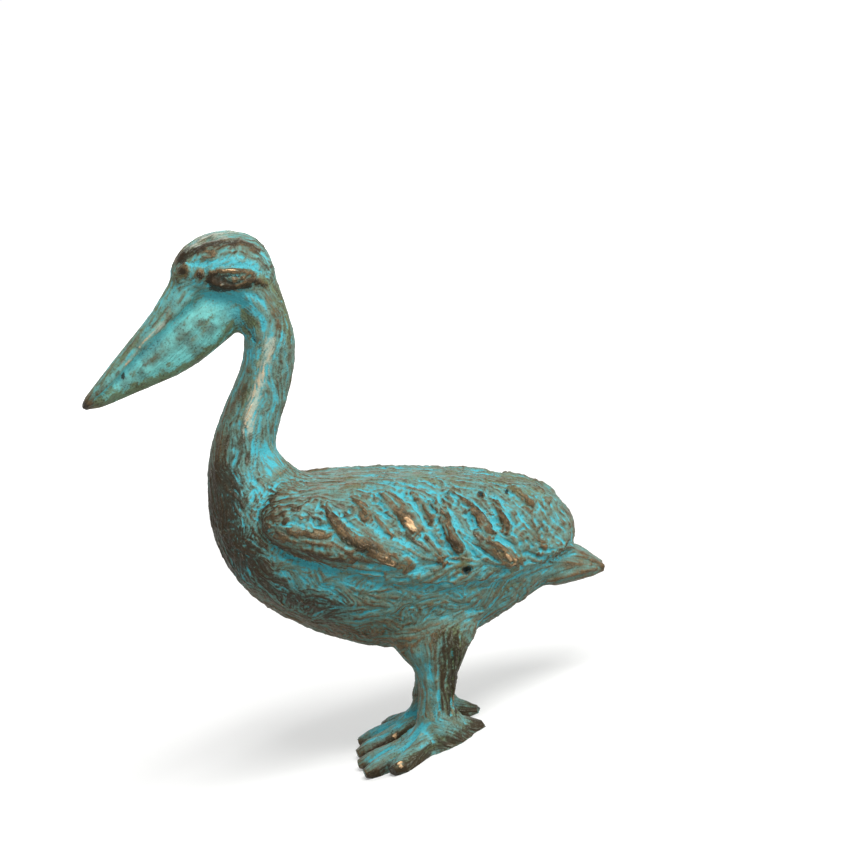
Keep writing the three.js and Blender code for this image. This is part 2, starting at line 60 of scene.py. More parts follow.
# How deep the combed strokes are, how far they wander, and how much verdigris is rubbed off
COMBED = {
    "body": 1.0, "neck": 0.5, "head": 0.6, "upper_bill": 0.3, "pouch": 0.06, "tail": 0.5,
    "wing": 0.6, "leg": 0.7, "foot": 0.25,
}
SWIRL = {
    "body": 0.8, "neck": 0.35, "head": 0.5, "upper_bill": 0.05, "tail": 0.1, "wing": 0.25,
    "leg": 0.15, "foot": 0.15,
}
RUBBED = {
    "body": 0.05, "wing": -0.03, "neck": 0.03, "head": -0.1, "tail": 0.28,
    "upper_bill": -0.36, "pouch": -0.34, "leg": 0.12, "foot": 0.0,
}
# How lumpy the skin is, and how deep the small plumes are
ROUGH = {
    "body": 0.8, "neck": 0.5, "head": 0.9, "upper_bill": 0.35, "pouch": 0.2, "tail": 0.3,
    "wing": 1.0, "leg": 0.9, "foot": 0.6,
}
PLUMED = {"wing": 1.0, "body": 0.35, "neck": 0.2, "head": 0.2, "leg": 0.3}
# Where the verdigris is smooth, and where the stains reach round to the front and the top
SMOOTH = {"pouch": 1.0, "upper_bill": 0.45, "head": 0.2}
WRAPPED = {"head": 1.0, "upper_bill": 1.0, "pouch": 1.0}
WINGS = {"wing": 1.0}

# The way that the strokes run, seen from the left: a place (x, z) in mm and an angle above +x
FLOW = [
    (-1, 63, 68), (-4.5, 58, 62), (-8.5, 54, 66), (-11.5, 50, 76),
    (-14.5, 46, 92), (-16.5, 42, 98), (-17, 37, 108), (-14.5, 32, 124),
    (-10.5, 28, 138), (-6, 24.5, 152), (-1, 22, 164), (4, 20, 176),
    (9, 19, 186), (14, 18.5, 196), (19, 18.5, 206), (-9, 33, 152),
    (-3, 28, 158), (3, 25, 168), (9, 22.5, 184), (15, 21, 200),
    (-8, 45, 120), (-5, 44, 150), (0, 42, 172), (-9.5, 40, 158),
    (-8, 37, 140), (-4, 38, 118), (0, 38.5, 112), (-2, 34, 132),
    (4, 37.5, 116), (3, 31.5, 128), (7, 35, 111), (10, 35, 106),
    (12, 31, 98), (15.5, 32, 112), (17.5, 25, 124), (19.5, 29, 100),
    (22.5, 29, 108), (25, 26, 102), (27, 23, 108), (24, 22, 140),
    (27, 18, 152), (25, 16.5, 178), (0, 74, 168), (-4, 78.5, 176),
    (-8, 78, 214), (-4, 74, 176), (0, 69, 110), (-14, 73, 215),
    (-20, 69, 213), (-26, 66, 212), (-16, 66, 205), (5, 14, 72),
    (4, 10, 78), (3, 7, 80), (-5, 2.5, 12), (3.5, 2.5, 150),
]


def spot(x, z, radius, amount):
    """A round place seen from the side."""
    return ([(x, z), (x, z + 0.01)], radius, amount)


# Raised plumes and folds: a path (x, z), a half width and a height in mm (below 0 cuts in)
PLUMES = [
    ([(-3.5, 41.2), (-2.6, 37.9), (-1.9, 35.2)], 1, 0.4),
    ([(0.4, 40.4), (1.3, 38.2), (1.7, 36.2)], 0.9, 0.35),
    ([(-2.6, 37), (-1.4, 34.8), (-0.2, 33.2)], 1, 0.35),
    ([(-1.2, 34.8), (1.1, 32.1), (3.2, 29.7), (4.4, 28.3)], 1.5, 0.5),
    ([(4.9, 38.9), (6.2, 35.9), (6.9, 34), (7.4, 32.2)], 1.35, 0.5),
    ([(8.4, 38), (9.3, 35.5), (9.9, 32.8)], 0.9, 0.4),
    ([(12.4, 35.2), (11.8, 31.9), (11.6, 29.8), (12, 27.6)], 0.95, 0.45),
    ([(14, 35.6), (15.7, 32.2), (16.4, 29.5), (17.1, 27.4)], 0.85, 0.4),
    ([(14.8, 29.2), (16.2, 26.4), (17.6, 24), (18.9, 22.1)], 1.5, 0.5),
    ([(19, 31.6), (19.3, 29.6), (19.1, 27)], 0.75, 0.35),
    ([(21.8, 32.4), (22.9, 30.6), (23.8, 28.4)], 0.9, 0.15),
    ([(-9.6, 38.6), (-7, 37.9), (-4.2, 36.3)], 0.7, 0.25),
    ([(21.6, 27), (22.6, 24.6), (23.4, 22.4)], 0.8, 0.35),
    ([(8.2, 31.4), (8.9, 28.8), (9.4, 26.6)], 0.7, 0.3),
    ([(2.6, 37.4), (3.2, 35), (3.9, 32.8)], 0.6, 0.25),
]
FOLDS = [
    ([(-12, 40), (-10.8, 37.8), (-8.2, 35.9), (-5.2, 34.4), (-2.4, 32.8)], 1.6, 0.45),
    ([(-11, 41), (-8, 42.2), (-5, 41.8)], 1.7, 0.4),
    ([(-8.6, 40), (-6.2, 38.9), (-4.2, 37.2)], 1.1, -0.35),
    ([(-13.2, 38.6), (-11.4, 35.6), (-8, 33), (-3.6, 30.2), (0.6, 28.2)], 0.9, -0.35),
    ([(-13.2, 39.6), (-12.4, 42.2), (-9.6, 44.4), (-5.6, 44.6)], 0.8, -0.3),
    ([(-9.9, 79), (-7.4, 79.1), (-5.4, 77.6)], 0.9, 0.35),
    ([(-5.9, 79), (-3.5, 78.5), (-1.2, 77.7), (0.6, 76)], 0.8, 0.22),
    ([(-8.8, 77.8), (-6.7, 76.9), (-4.2, 76.9), (-1.6, 76)], 0.6, -0.22),
    spot(-9.8, 77.1, 1.2, 0.4),
    spot(-7.9, 75.8, 0.9, 0.3),
    ([(-6.4, 75.4), (-5.2, 75.4), (-3.9, 74.9), (-2.6, 74.3), (-1.2, 73.4)], 0.55, 0.38),
    ([(-6.6, 74.1), (-5.3, 73), (-3.8, 72.5), (-2.1, 72.3)], 0.6, 0.28),
    ([(-2.6, 73.2), (-1.2, 72.4), (-0.2, 71.4)], 0.5, 0.22),
    spot(-3.8, 73.6, 0.75, 0.3),
    ([(-5, 74.5), (-3.9, 74.25), (-2.9, 73.7)], 0.25, -0.15),
    ([(-4.8, 73.5), (-4, 72.95), (-3.1, 72.95)], 0.25, -0.15),
    spot(-5.3, 74.2, 0.5, -0.28),
    ([(-10.6, 72.9), (-15.1, 71), (-18.9, 69.5), (-21.5, 68), (-24.4, 66.4),
      (-27.6, 64.9)], 0.5, 0.2),
    ([(-10.4, 71.9), (-12.4, 71.2), (-15.4, 69.7), (-19.4, 67.9), (-24.4, 65.6),
      (-28.4, 64.1)], 0.45, -0.08),
    ([(-7.5, 71), (-11.5, 69.7), (-15.5, 67.9), (-20, 65.9)], 1.6, 0.35),
    ([(-3.2, 68.7), (-2.9, 66.6), (-3.6, 64.4)], 0.9, 0.25),
    ([(-4.7, 66), (-4.3, 64.2)], 0.6, -0.15),
    ([(-3.4, 70.4), (-1.9, 68.8), (-1.6, 66.7), (-2.3, 64.8), (-4.3, 62.8),
      (-6.4, 60.5)], 0.8, 0.22),
    ([(-1.3, 63.5), (-4.4, 60.1), (-6.5, 57.9), (-8.2, 55.9), (-9.7, 53.5)], 0.9, 0.2),
    ([(22.4, 21.6), (26.5, 20.3), (28.4, 18.4), (30.6, 15.3)], 0.5, 0.35),
    ([(23, 20), (26.4, 18.8), (28.6, 16.8)], 0.7, -0.25),
    ([(22, 16.6), (26, 16.2), (29.4, 15.4)], 0.4, 0.2),
    ([(6, 13.4), (4, 7.6), (2.4, 4.2)], 0.35, -0.32),
    ([(6.9, 12.6), (4.9, 7.4), (3.3, 3.8)], 0.3, -0.28),
    ([(3.4, 12), (2.2, 8.4), (1.2, 5.6)], 0.35, -0.15),
    spot(12, 24.1, 0.6, -1),
    spot(17.7, 32.7, 0.45, -0.6),
    spot(21.3, 31.5, 0.3, -0.4),
]

# Where the finish is stained, and where shade and highlights are painted on it: soft strokes by
# path (x, z) in mm, half width and strength.
# Brown bronze under worn verdigris:
BROWN = [
    ([(-10.4, 41.4), (-7, 42.4), (-3, 41.6), (0, 40.8)], 1.5, 0.55),
    ([(-10, 38.4), (-6, 36.8), (-2, 34.6), (1, 32.6)], 1.6, 0.5),
    ([(-10.2, 78.4), (-8.6, 79.2), (-6.6, 79), (-5, 77.8)], 0.8, 0.9),
    ([(-5.9, 79.3), (-3.5, 78.6), (-1.2, 77.7), (0.4, 76.2)], 0.8, 0.75),
    spot(-9.8, 77, 1, 0.95),
    spot(-7.9, 75.8, 0.8, 1),
    ([(-6.8, 74.9), (-6.2, 73.8), (-5, 73.1), (-3.6, 72.6), (-2, 72.4)], 0.8, 1.15),
    ([(-6.4, 75.3), (-5.2, 75.3), (-3.9, 74.9), (-2.8, 74.4)], 0.45, 0.9),
    ([(-2.6, 73.2), (-1.2, 72.4), (-0.2, 71.4)], 0.65, 1),
    ([(-1.2, 72), (-0.4, 70.8), (0, 69), (0, 67), (-0.5, 65)], 0.8, 0.75),
    ([(-9.9, 73.3), (-9, 74)], 0.4, 0.5),
    ([(-10.6, 72.1), (-9.4, 72.9)], 0.5, 0.4),
    ([(-14.3, 53.8), (-15.9, 50), (-17.4, 46), (-18.4, 42), (-18.2, 37)], 1.7, 0.7),
    ([(-16.6, 40), (-16.2, 36.5), (-15, 33.5)], 1.8, 0.6),
    ([(-6, 61), (-8.6, 57.8), (-11.2, 55)], 0.8, 0.4),
    ([(-5.8, 42.9), (-7.9, 43.3), (-10.1, 42.7), (-12.2, 40.8), (-12.9, 38.6)], 1.1, 0.6),
    ([(-12.6, 38.6), (-10.5, 36.3), (-7.2, 34.3), (-4, 32.4), (-1.5, 31.3)], 1.2, 0.7),
    ([(-10.2, 41.2), (-9.4, 39.6)], 1.2, 0.35),
    ([(-17.2, 30.5), (-13.5, 25.5), (-8.4, 21), (-2.5, 18), (4, 17.4)], 2.4, 0.55),
    ([(-12, 28.5), (-9, 26)], 1.4, 0.3),
    ([(3.9, 14.5), (3.4, 11), (2.6, 8.5)], 0.8, 0.3),
    ([(6.9, 15), (6.2, 11), (5.2, 8)], 0.9, 0.35),
    ([(6, 0.6), (0, 0.3), (-6, 0.8), (-12, 0.9)], 0.8, 0.75),
    ([(5.9, 1.6), (8, 0.8)], 1.2, 0.5),
    spot(-30.3, 63.7, 2.2, 1.2),
    ([(-29, 65.2), (-24, 68.4), (-18.5, 72)], 0.6, 0.35),
    ([(12.8, 25.8), (11.4, 25.2), (10.8, 24)], 0.8, 0.5),
]
# Near black: round the eyes, on the brows, the nail and the gape, in the leg's grooves and three
# pits, and painted shade in the throat's crease and on the step under the wing's front edge:
DARK = [
    ([(-6.7, 73.3), (-5.1, 72.5), (-3.1, 72), (-1.9, 71.7)], 0.3, 0.95),
    ([(-6.8, 74.4), (-6.2, 74.8), (-5.3, 74.2)], 0.75, 0.9),
    ([(-6.5, 73.9), (-5.2, 73.1)], 0.6, 0.75),
    ([(-5, 74.5), (-3.9, 74.3), (-2.9, 73.7)], 0.2, 0.8),
    ([(-4.8, 73.5), (-4, 72.95), (-3.1, 72.95)], 0.2, 0.8),
    ([(-2, 72.9), (-0.8, 72.1)], 0.3, 0.7),
    spot(-7.9, 75.7, 0.55, 0.8),
    spot(-9.9, 77, 0.7, 0.75),
    ([(-9.8, 78.4), (-8, 79), (-6.2, 78.9)], 0.6, 0.75),
    ([(-5.6, 79), (-3.5, 78.5), (-1.8, 77.9)], 0.5, 0.62),
    ([(-6.9, 73.4), (-5.8, 72.8), (-4.2, 72.5)], 0.7, 0.8),
    ([(-6.5, 74.5), (-6, 73.9), (-5.3, 73.6)], 0.9, 0.9),
    ([(-3, 72.4), (-1.4, 72.2), (0, 71)], 0.5, 0.5),
    spot(-30.5, 63.8, 1.1, 0.9),
    spot(12, 24.1, 0.62, 1.2),
    spot(17.7, 32.7, 0.42, 1.2),
    spot(21.3, 31.5, 0.3, 1),
    # painted shade in the throat's crease
    ([(-4.7, 65.8), (-4.4, 64.2)], 0.35, 0.4),
    ([(5.4, 11.9), (3.9, 7.5), (2.3, 4.2)], 0.28, 0.8),
    ([(6.2, 11.4), (4.2, 7.1), (3.1, 3.7)], 0.25, 0.7),
    # painted shade on the step under the wing's front edge
    ([(-12.2, 37), (-9, 34), (-5, 31.6), (-1, 29.8)], 0.5, 0.35),
    ([(-23.5, 65.8), (-23.2, 66.2)], 0.3, 0.9),
]
# Green-brown:
MOSS = [
    ([(0.2, 71.6), (1.2, 69.3), (1.4, 66.3), (0.7, 62.6)], 1.3, 0.75),
    ([(-4, 67), (-8.8, 65.1), (-11.8, 64.1), (-15.9, 63.3), (-20.8, 63),
      (-28, 63.2)], 1.6, 0.9),
    ([(-10.5, 77), (-12.9, 75.5), (-18.4, 71.8), (-25.7, 67.5), (-29.5, 65)], 1.1, 0.6),
    ([(-9.8, 77), (-8, 78.9), (-5, 80.2)], 1.3, 0.5),
    ([(-3.5, 63.3), (-5.9, 60.1), (-7.9, 57.3), (-10, 55.1)], 0.8, 0.5),
    spot(12.2, 24.9, 1.5, 0.7),
    ([(6.8, 15.4), (5.8, 12), (4.6, 8.4), (3.6, 5)], 1.6, 1.2),
    ([(7.4, 1.6), (3, 1.2), (-2, 1), (-7, 0.9)], 1.1, 0.8),
    ([(19, 22), (16, 18)], 1.5, 0.3),
    ([(0, 42.2), (10, 38.6), (19, 34.6), (25, 29)], 1.3, 0.45),
]
# Clean, bright verdigris, and painted light: the broad strokes on the belly and the rump lighten
# them as if lit from below:
BRIGHT = [
    ([(-7, 71.7), (-3.9, 70.5), (-1.9, 69.4), (-1.2, 68.2)], 1.5, 0.95),
    ([(-5, 69), (-4.4, 66.8), (-4.2, 65.4)], 1.5, 0.85),
    ([(-8.6, 77.4), (-6.7, 76.7), (-4.2, 76.5), (-2.1, 75.4), (-0.4, 74.2)], 0.7, 0.75),
    ([(-8.6, 74.6), (-7.6, 73.6)], 0.7, 0.6),
    ([(-2.4, 69), (-2, 66.9), (-2.6, 64.8), (-4.3, 62.8), (-6, 61)], 0.75, 0.8),
    ([(-7.6, 39.6), (-5, 37.7), (-2.8, 35.9)], 0.9, 0.6),
    ([(-12.6, 36), (-9.4, 33), (-5.5, 31), (-1, 29.4), (3, 28)], 0.9, 0.55),
    ([(2.6, 35), (4.4, 31.6), (5.9, 28.6)], 0.8, 0.6),
    ([(8.4, 33), (9.6, 30), (10.4, 27)], 0.7, 0.5),
    ([(13.3, 31), (13.4, 28), (14, 25.6)], 0.7, 0.5),
    ([(-12, 47.6), (-12.9, 44.5), (-14.6, 41.5)], 1.2, 0.4),
    ([(1.4, 8), (0.6, 6), (-0.6, 4.4), (-3, 3.5), (-6, 2.8), (-9, 2.2),
      (-11.2, 1.7)], 0.6, 0.6),
    ([(-9.2, 50.4), (-7.7, 48), (-8.2, 45.8)], 1.3, 0.75),
    ([(1.2, 14.2), (2.4, 15.2)], 1, 0.5),
    ([(1.6, 12.6), (1.5, 10), (1.3, 8)], 0.8, 0.45),
    spot(-3.9, 73.6, 0.45, 0.7),
    # painted light on the belly and the rump
    ([(5, 24.4), (12, 21.6), (20, 20.4)], 2.6, 0.35),
    ([(-2, 27.4), (5, 25.6)], 1.6, 0.3),
    ([(-10, 31), (-5.5, 29), (0, 27)], 1.8, 0.35),
    ([(-0.5, 66), (-3.5, 60), (-8, 54)], 2.8, 0.3),
]
# Dark dirt in the strokes, and painted shade: the broad strokes on the breast, the neck, the legs
# and the feet darken them where shade falls:
SHADE_AND_GRIME = [
    # painted shade down the breast's front edge and on the neck
    ([(-15.6, 46.5), (-17.4, 42), (-17, 36)], 4, 1),
    ([(0, 66), (-3, 60), (-7.5, 55), (-11.5, 50)], 3.4, 0.46),
    ([(-10, 41), (-6, 40.4), (-2, 38.4)], 2.2, 0.32),
    ([(-10.2, 76.5), (-8, 78.4), (-4, 79), (0.5, 76.5), (1.2, 72), (1, 68)], 1.2, 0.32),
    ([(-7, 35), (-2, 33), (6, 32), (16, 30)], 4, 0.2),
    ([(-15.4, 54), (-17, 49)], 1.8, 0.5),
    ([(-12.2, 52), (-13.2, 47)], 2.2, 0.45),
    ([(-13.4, 46.5), (-12.6, 44), (-12.6, 41)], 1.2, 0.4),
    ([(-17.5, 37), (-15.5, 33), (-12, 29), (-8, 25.5)], 3.2, 0.7),
    ([(-12.6, 38.6), (-10.4, 36.4), (-7.2, 34.4), (-4, 32.6)], 0.9, 0.6),
    ([(-9.6, 43.6), (-11.9, 41.4), (-12.6, 39.2)], 1.2, 0.5),
    # painted shade on the leg and the foot
    ([(6, 14.5), (5, 10), (3.8, 6)], 2.2, 0.75),
    ([(7, 0.8), (0, 0.8), (-5, 0.7), (-11, 0.6)], 1.5, 0.8),
]
# Painted highlights, pale: the streak down the neck, the line along the bill's ridge and the top of
# the crown:
PAINTED_HIGHLIGHTS = [
    ([(-2.2, 63.4), (-4.2, 60.3), (-6.3, 57.7), (-8.2, 55.2), (-9.6, 52.8)], 0.95, 0.8),
    ([(-15.4, 71), (-18.9, 69.4), (-22.4, 67.5)], 0.4, 0.6),
    ([(-8, 80), (-5, 80.6), (-1.5, 79.4)], 1.2, 0.5),
]
# Rubbed to bare brass, and painted highlights: the glints along the bill's ridge, down the neck and
# on the upper eyelid:
BRASS_AND_GLINTS = [
    ([(6.8, 33.6), (7.2, 32.8)], 0.7, 0.8),
    # painted highlight along the bill's ridge
    ([(-15.4, 71.2), (-18.9, 69.5), (-22.4, 67.6)], 0.25, 0.4),
    spot(-6.6, 1.4, 0.5, 0.9),
    # painted highlights down the neck and on the upper eyelid
    ([(-2.8, 62), (-4.4, 60.1), (-6.5, 57.9), (-8.2, 55.9), (-9.7, 53.5)], 0.7, 0.4),
    ([(-4.6, 75.2), (-3.9, 75), (-3.3, 74.7)], 0.25, 0.5),
    ([(1.4, 31.4), (3, 29.6)], 0.8, 0.4),
    ([(17.2, 24.6), (18.4, 22.8)], 0.7, 0.4),
    ([(4.2, 7.1), (2.8, 4.2)], 0.3, 0.4),
]

# The wandering of the strokes: wave length in mm, share of the swirl, and seed
SWIRLS = ((5.0, 1.0, 11), (2.6, 0.4, 12))
DRIFT_WAVES = 14

# A stroke is noise averaged along the flow: the steps each way, their length in stroke widths,
# and how far from its mean the noise makes a full ridge or groove
STROKE_REACH, STROKE_STEP, STROKE_SWING = 4, 0.8, 0.11

# One step in and a slightly longer one out take waves out of the skin without shrinking it
SOFTENING_STEPS = (0.5, -0.53)

# How far the softening of a seam spreads, in rounds, and how much stronger it then gets
SEAM_SPREAD, SEAM_GAIN = 40, 6

# Low lumps over the whole skin: height and width in mm, and seed
LUMP_HEIGHT, LUMP_WIDTH, LUMP_SEED = 0.04, 2.2, 8

# How far a point may stick out from its neighbours, in mm, and the rounds that draw it in
SPIKE_REACH, SPIKE_ROUNDS = 0.1, 12

# The rounded end of the bill's nail, and how strongly the shoulder's seams are run together
NAIL_END = spot(-30.2, 62.8, 0.9, 1.0)
SHOULDER_SEAM = 0.4

# What stands out as relief and as form: rounds of smoothing, and the height of a step in mm
RELIEF, FORM = (8, 0.06), (120, 0.3)

# How far a cut piece's closing wall and the middle of its cap sink into the casting, in mm
RIM_DEPTH, POLE_DEPTH = 0.5, 1.2

# What the patina, with its painted shade and highlights, reads at each point, apart from the way of
# the strokes
POINT_VALUES = (
    "relief", "form", "skin", "dark", "moss", "bright", "brass_and_glint", "rub_and_shade", "shade_and_grime", "pale")

# The camera's place in mm, and each lamp's place in m, width in m and power in W
CAMERA_PLACE = (14.4, -412.3, 122.4)
LAMPS = {
    "key": ((0.24, -0.48, 0.64), 0.4, 6.1),
    "side": ((0.75, -0.35, 0.22), 0.4, 4.2),
    "back": ((0.1, 0.7, 0.6), 0.5, 2.5),
}
LAMP_AIM = (0, 0, 0.045)
FLOOR_CORNERS = 64
FLOOR_SEEN = (0.8, 0.8, 0.79, 1.0)


class Surface:
    """A closed mesh of quads in mm, with what its points have in common with their neighbours."""

    def __init__(self, points, quads):
        self.points = points
        self.quads = quads
        total = len(points)
        keys = np.unique(np.concatenate([
            quads[:, k] * total + quads[:, (k + s) % 4] for k in range(4) for s in (1, 3)]))
        self.neighbour = keys % total
        self.counts = np.bincount(keys // total, minlength=total)
        self.starts = np.concatenate([[0], np.cumsum(self.counts)[:-1]])

    def average(self, values):
        """Each point's mean over its neighbours."""
        total = np.add.reduceat(values[self.neighbour], self.starts, axis=0)
        return total / (self.counts if values.ndim == 1 else self.counts[:, None])

    def smoothed(self, values, rounds):
        """Values that have flowed into their neighbours for some rounds."""
        for _ in range(rounds):
            values = 0.5 * values + 0.5 * self.average(values)
        return values

    def soften(self, rounds, weight):
        """Takes small waves out of the shape without shrinking it."""
        weight = weight[:, None]
        for _ in range(rounds):
            for step in SOFTENING_STEPS:
                away = self.average(self.points) - self.points
                self.points = self.points + step * weight * away

    def tame(self, reach, rounds):
        """Draws in points that stick out from their neighbours by more than the reach."""
        for _ in range(rounds):
            away = self.average(self.points) - self.points
            far = lengths(away)
            self.points = self.points + away * np.maximum(1 - reach / far, 0)[:, None]

    def normals(self):
        """The outward direction at each point."""
        a, b, c, d = (self.points[self.quads[:, k]] for k in range(4))
        across = np.cross(c - a, d - b)
        total = np.zeros_like(self.points)
        for k in range(4):
            for axis in range(3):
                total[:, axis] += np.bincount(self.quads[:, k], across[:, axis], len(total))
        return total / lengths(total)[:, None]


def lengths(vectors):
    """Their lengths, never quite 0, to divide by."""
    return np.maximum(np.linalg.norm(vectors, axis=1), 1e-12)


def read(rows, key, width=1, kind=np.float32):
    """One value of every row of a mesh's data, as an array."""
    values = np.empty(len(rows) * width, kind)
    rows.foreach_get(key, values)
    return values.reshape(-1, width) if width > 1 else values


def solid_arrays(node):
    """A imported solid's corner points in mm, merged, and its triangles."""
    points = read(node.data.vertices, "co", 3, float) / MM
    corners = read(node.data.loops, "vertex_index", kind=np.int64)
    _, first, back = np.unique(np.round(points, 3), axis=0, return_index=True, return_inverse=True)
    return points[first], back.ravel()[corners].reshape(-1, 3)


def swollen(points, triangles, amount):
    """Moves the points outwards until each face has moved by at least the amount."""
    a, b, c = (points[triangles[:, k]] for k in range(3))
    across = np.cross(b - a, c - a)
    across /= lengths(across)[:, None]
    total = np.zeros_like(points)
    for here, left, right, k in ((a, b, c, 0), (b, c, a, 1), (c, a, b, 2)):
        u, v = left - here, right - here
        lean = (u * v).sum(1) / (lengths(u) * lengths(v))
        np.add.at(total, triangles[:, k], across * np.arccos(np.clip(lean, -1, 1))[:, None])
    total /= lengths(total)[:, None]
    facing = np.ones(len(points))
    for k in range(3):
        np.minimum.at(facing, triangles[:, k], (total[triangles[:, k]] * across).sum(1))
    # a sharp corner moves by no more than twice the amount
    return points + total * (amount / np.maximum(facing, 0.5))[:, None]


def mesh_object(name, points, faces):
    """A new object at the origin, from an array of points and a list of faces."""
    mesh = bpy.data.meshes.new(name)
    mesh.from_pydata(points.tolist(), [], faces)
    thing = bpy.data.objects.new(name, mesh)
    bpy.context.scene.collection.objects.link(thing)
    return thing


def made_plain(thing):
    """The evaluated mesh of an object, in place of its own, with its modifiers gone."""
    graph = bpy.context.evaluated_depsgraph_get()
    result = bpy.data.meshes.new_from_object(thing.evaluated_get(graph))
    thing.modifiers.clear()
    thing.data = result
    return result


def quads_of(mesh):
    """The points and the corners of a mesh that has only quads."""
    corners = read(mesh.loops, "vertex_index", kind=np.int64)
    if len(corners) != 4 * len(mesh.polygons):
        raise RuntimeError("the casting isn't all quads")
    return read(mesh.vertices, "co", 3, float), corners.reshape(-1, 4)


def fused_solids(grain, fill):
    """All the solids run together into one skin, and which solid each of its points came from."""
    points, triangles, owner, fat, start = [], [], [], [], 0
    for index, name in enumerate(NODES):
        own, faces = solid_arrays(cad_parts[name])
        points.append(own)
        fat.append(swollen(own, faces, fill))
        triangles.append(faces + start)
        owner.append(np.full(len(faces), index))
        start += len(own)
    points, fat, triangles = np.concatenate(points), np.concatenate(fat), np.concatenate(triangles)
    owner = np.concatenate(owner)
    triangles = triangles.tolist()
    shell = mesh_object("shell", fat, triangles)
    remesh = shell.modifiers.new("fuse", "REMESH")
    remesh.mode = "VOXEL"
    remesh.voxel_size = grain
    skin_points, quads = quads_of(made_plain(shell))
    bpy.data.objects.remove(shell)
    tree = BVHTree.FromPolygons(points.tolist(), triangles)
    nearest = np.array([tree.find_nearest(p)[2] for p in skin_points.tolist()])
    return Surface(skin_points, quads), owner[nearest]


def nearness(points, path):
    """How far each point lies from a path in the side view, and how far along the path."""
    path = np.array(path, float)
    steps = np.linalg.norm(np.diff(path, axis=0), axis=1)
    total = max(steps.sum(), 1e-9)
    best = np.full(len(points), 1e9)
    along = np.zeros(len(points))
    done = 0.0
    for start, end, step in zip(path[:-1], path[1:], steps):
        share = np.clip(((points - start) @ (end - start)) / max(step * step, 1e-12), 0, 1)
        distance = np.linalg.norm(points - start - share[:, None] * (end - start), axis=1)
        closer = distance < best
        best = np.where(closer, distance, best)
        along = np.where(closer, (done + share * step) / total, along)
        done += step
    return best, along


def painted(side_view, strokes):
    """The strongest of some soft strokes at each point."""
    total = np.zeros(len(side_view))
    for path, radius, amount in strokes:
        distance, _ = nearness(side_view, path)
        total = np.maximum(total, amount * np.exp(-((distance / radius) ** 2)))
    return total


def raised(side_view, folds, plume=False):
    """Heights of some ridges. A plume starts thin and ends in a blunt, high tip."""
    total = np.zeros(len(side_view))
    for path, width, height in folds:
        distance, along = nearness(side_view, path)
        swell = 0.45 + 0.55 * np.minimum(along / 0.8, 1) if plume else 1.0
        q = np.minimum(distance / (width * swell), 1)
        lift = height * (1 - q * q) ** (1.2 if plume else 1.6)
        total += lift * (np.minimum(along / 0.7, 1) ** 0.8 if plume else 1.0)
    return total


class Value:
    """A node's output that takes part in Python sums."""

    def __init__(self, tree, socket):
        self.tree, self.socket = tree, socket

    def math(self, operation, *values):
        """A math node with this output first, on vectors if one of them is a vector."""
        vector = self.socket.type == "VECTOR" or any(
            isinstance(v, Value) and v.socket.type == "VECTOR" for v in values)
        kind = "ShaderNodeVectorMath" if vector else "ShaderNodeMath"
        return self.tree.node(kind, {"operation": operation}, dict(enumerate((self, *values))))

    def __add__(self, other): return self.math("ADD", other)
    def __radd__(self, other): return self.math("ADD", other)
    def __sub__(self, other): return self.math("SUBTRACT", other)
    def __rsub__(self, other): return (self * -1.0) + other
    def __mul__(self, other): return self.math("MULTIPLY", other)
    def __rmul__(self, other): return self.math("MULTIPLY", other)
    def __truediv__(self, other): return self.math("DIVIDE", other)

    def __rtruediv__(self, other):
        return self.tree.node("ShaderNodeMath", {"operation": "DIVIDE"}, {0: other, 1: self})

    def between(self, low, high):
        """0 below low, 1 above high and smooth between them."""
        return self.tree.node(
            "ShaderNodeMapRange", {"interpolation_type": "SMOOTHSTEP"},
            {"Value": self, "From Min": low, "From Max": high})


class Tree:
    """Adds nodes to a node tree."""

    def __init__(self, tree):
        self.tree = tree
        tree.nodes.clear()

    def node(self, kind, settings=None, values=None, output=0):
        """Adds any node, with its settings first and then its sockets' values or links."""
        made = self.tree.nodes.new(kind)
        for key, value in (settings or {}).items():
            setattr(made, key, value)
        for key, value in (values or {}).items():
            self.feed(made.inputs[key], value)
        return Value(self, made.outputs[output]) if len(made.outputs) else made

    def feed(self, socket, value):
        """Links a socket to another node's output, or sets its value."""
        if isinstance(value, Value):
            self.tree.links.new(value.socket, socket)
        elif socket.type == "VECTOR" and isinstance(value, (int, float)):
            socket.default_value = (value, value, value)
        else:
            socket.default_value = value

    def mix(self, share, first, second):
        """A colour between two colours."""
        made = self.tree.nodes.new("ShaderNodeMix")
        made.data_type = "RGBA"
        made.clamp_factor = True
        for index, value in ((0, share), (6, first), (7, second)):
            self.feed(made.inputs[index], value)
        return Value(self, made.outputs[2])


def colour(text):
    """A colour written as in a paint list, such as 4fc0cc, as linear values."""
    parts = [int(text[k:k + 2], 16) / 255 for k in (0, 2, 4)]
    return tuple(c / 12.92 if c <= 0.04045 else ((c + 0.055) / 1.055) ** 2.4 for c in parts)


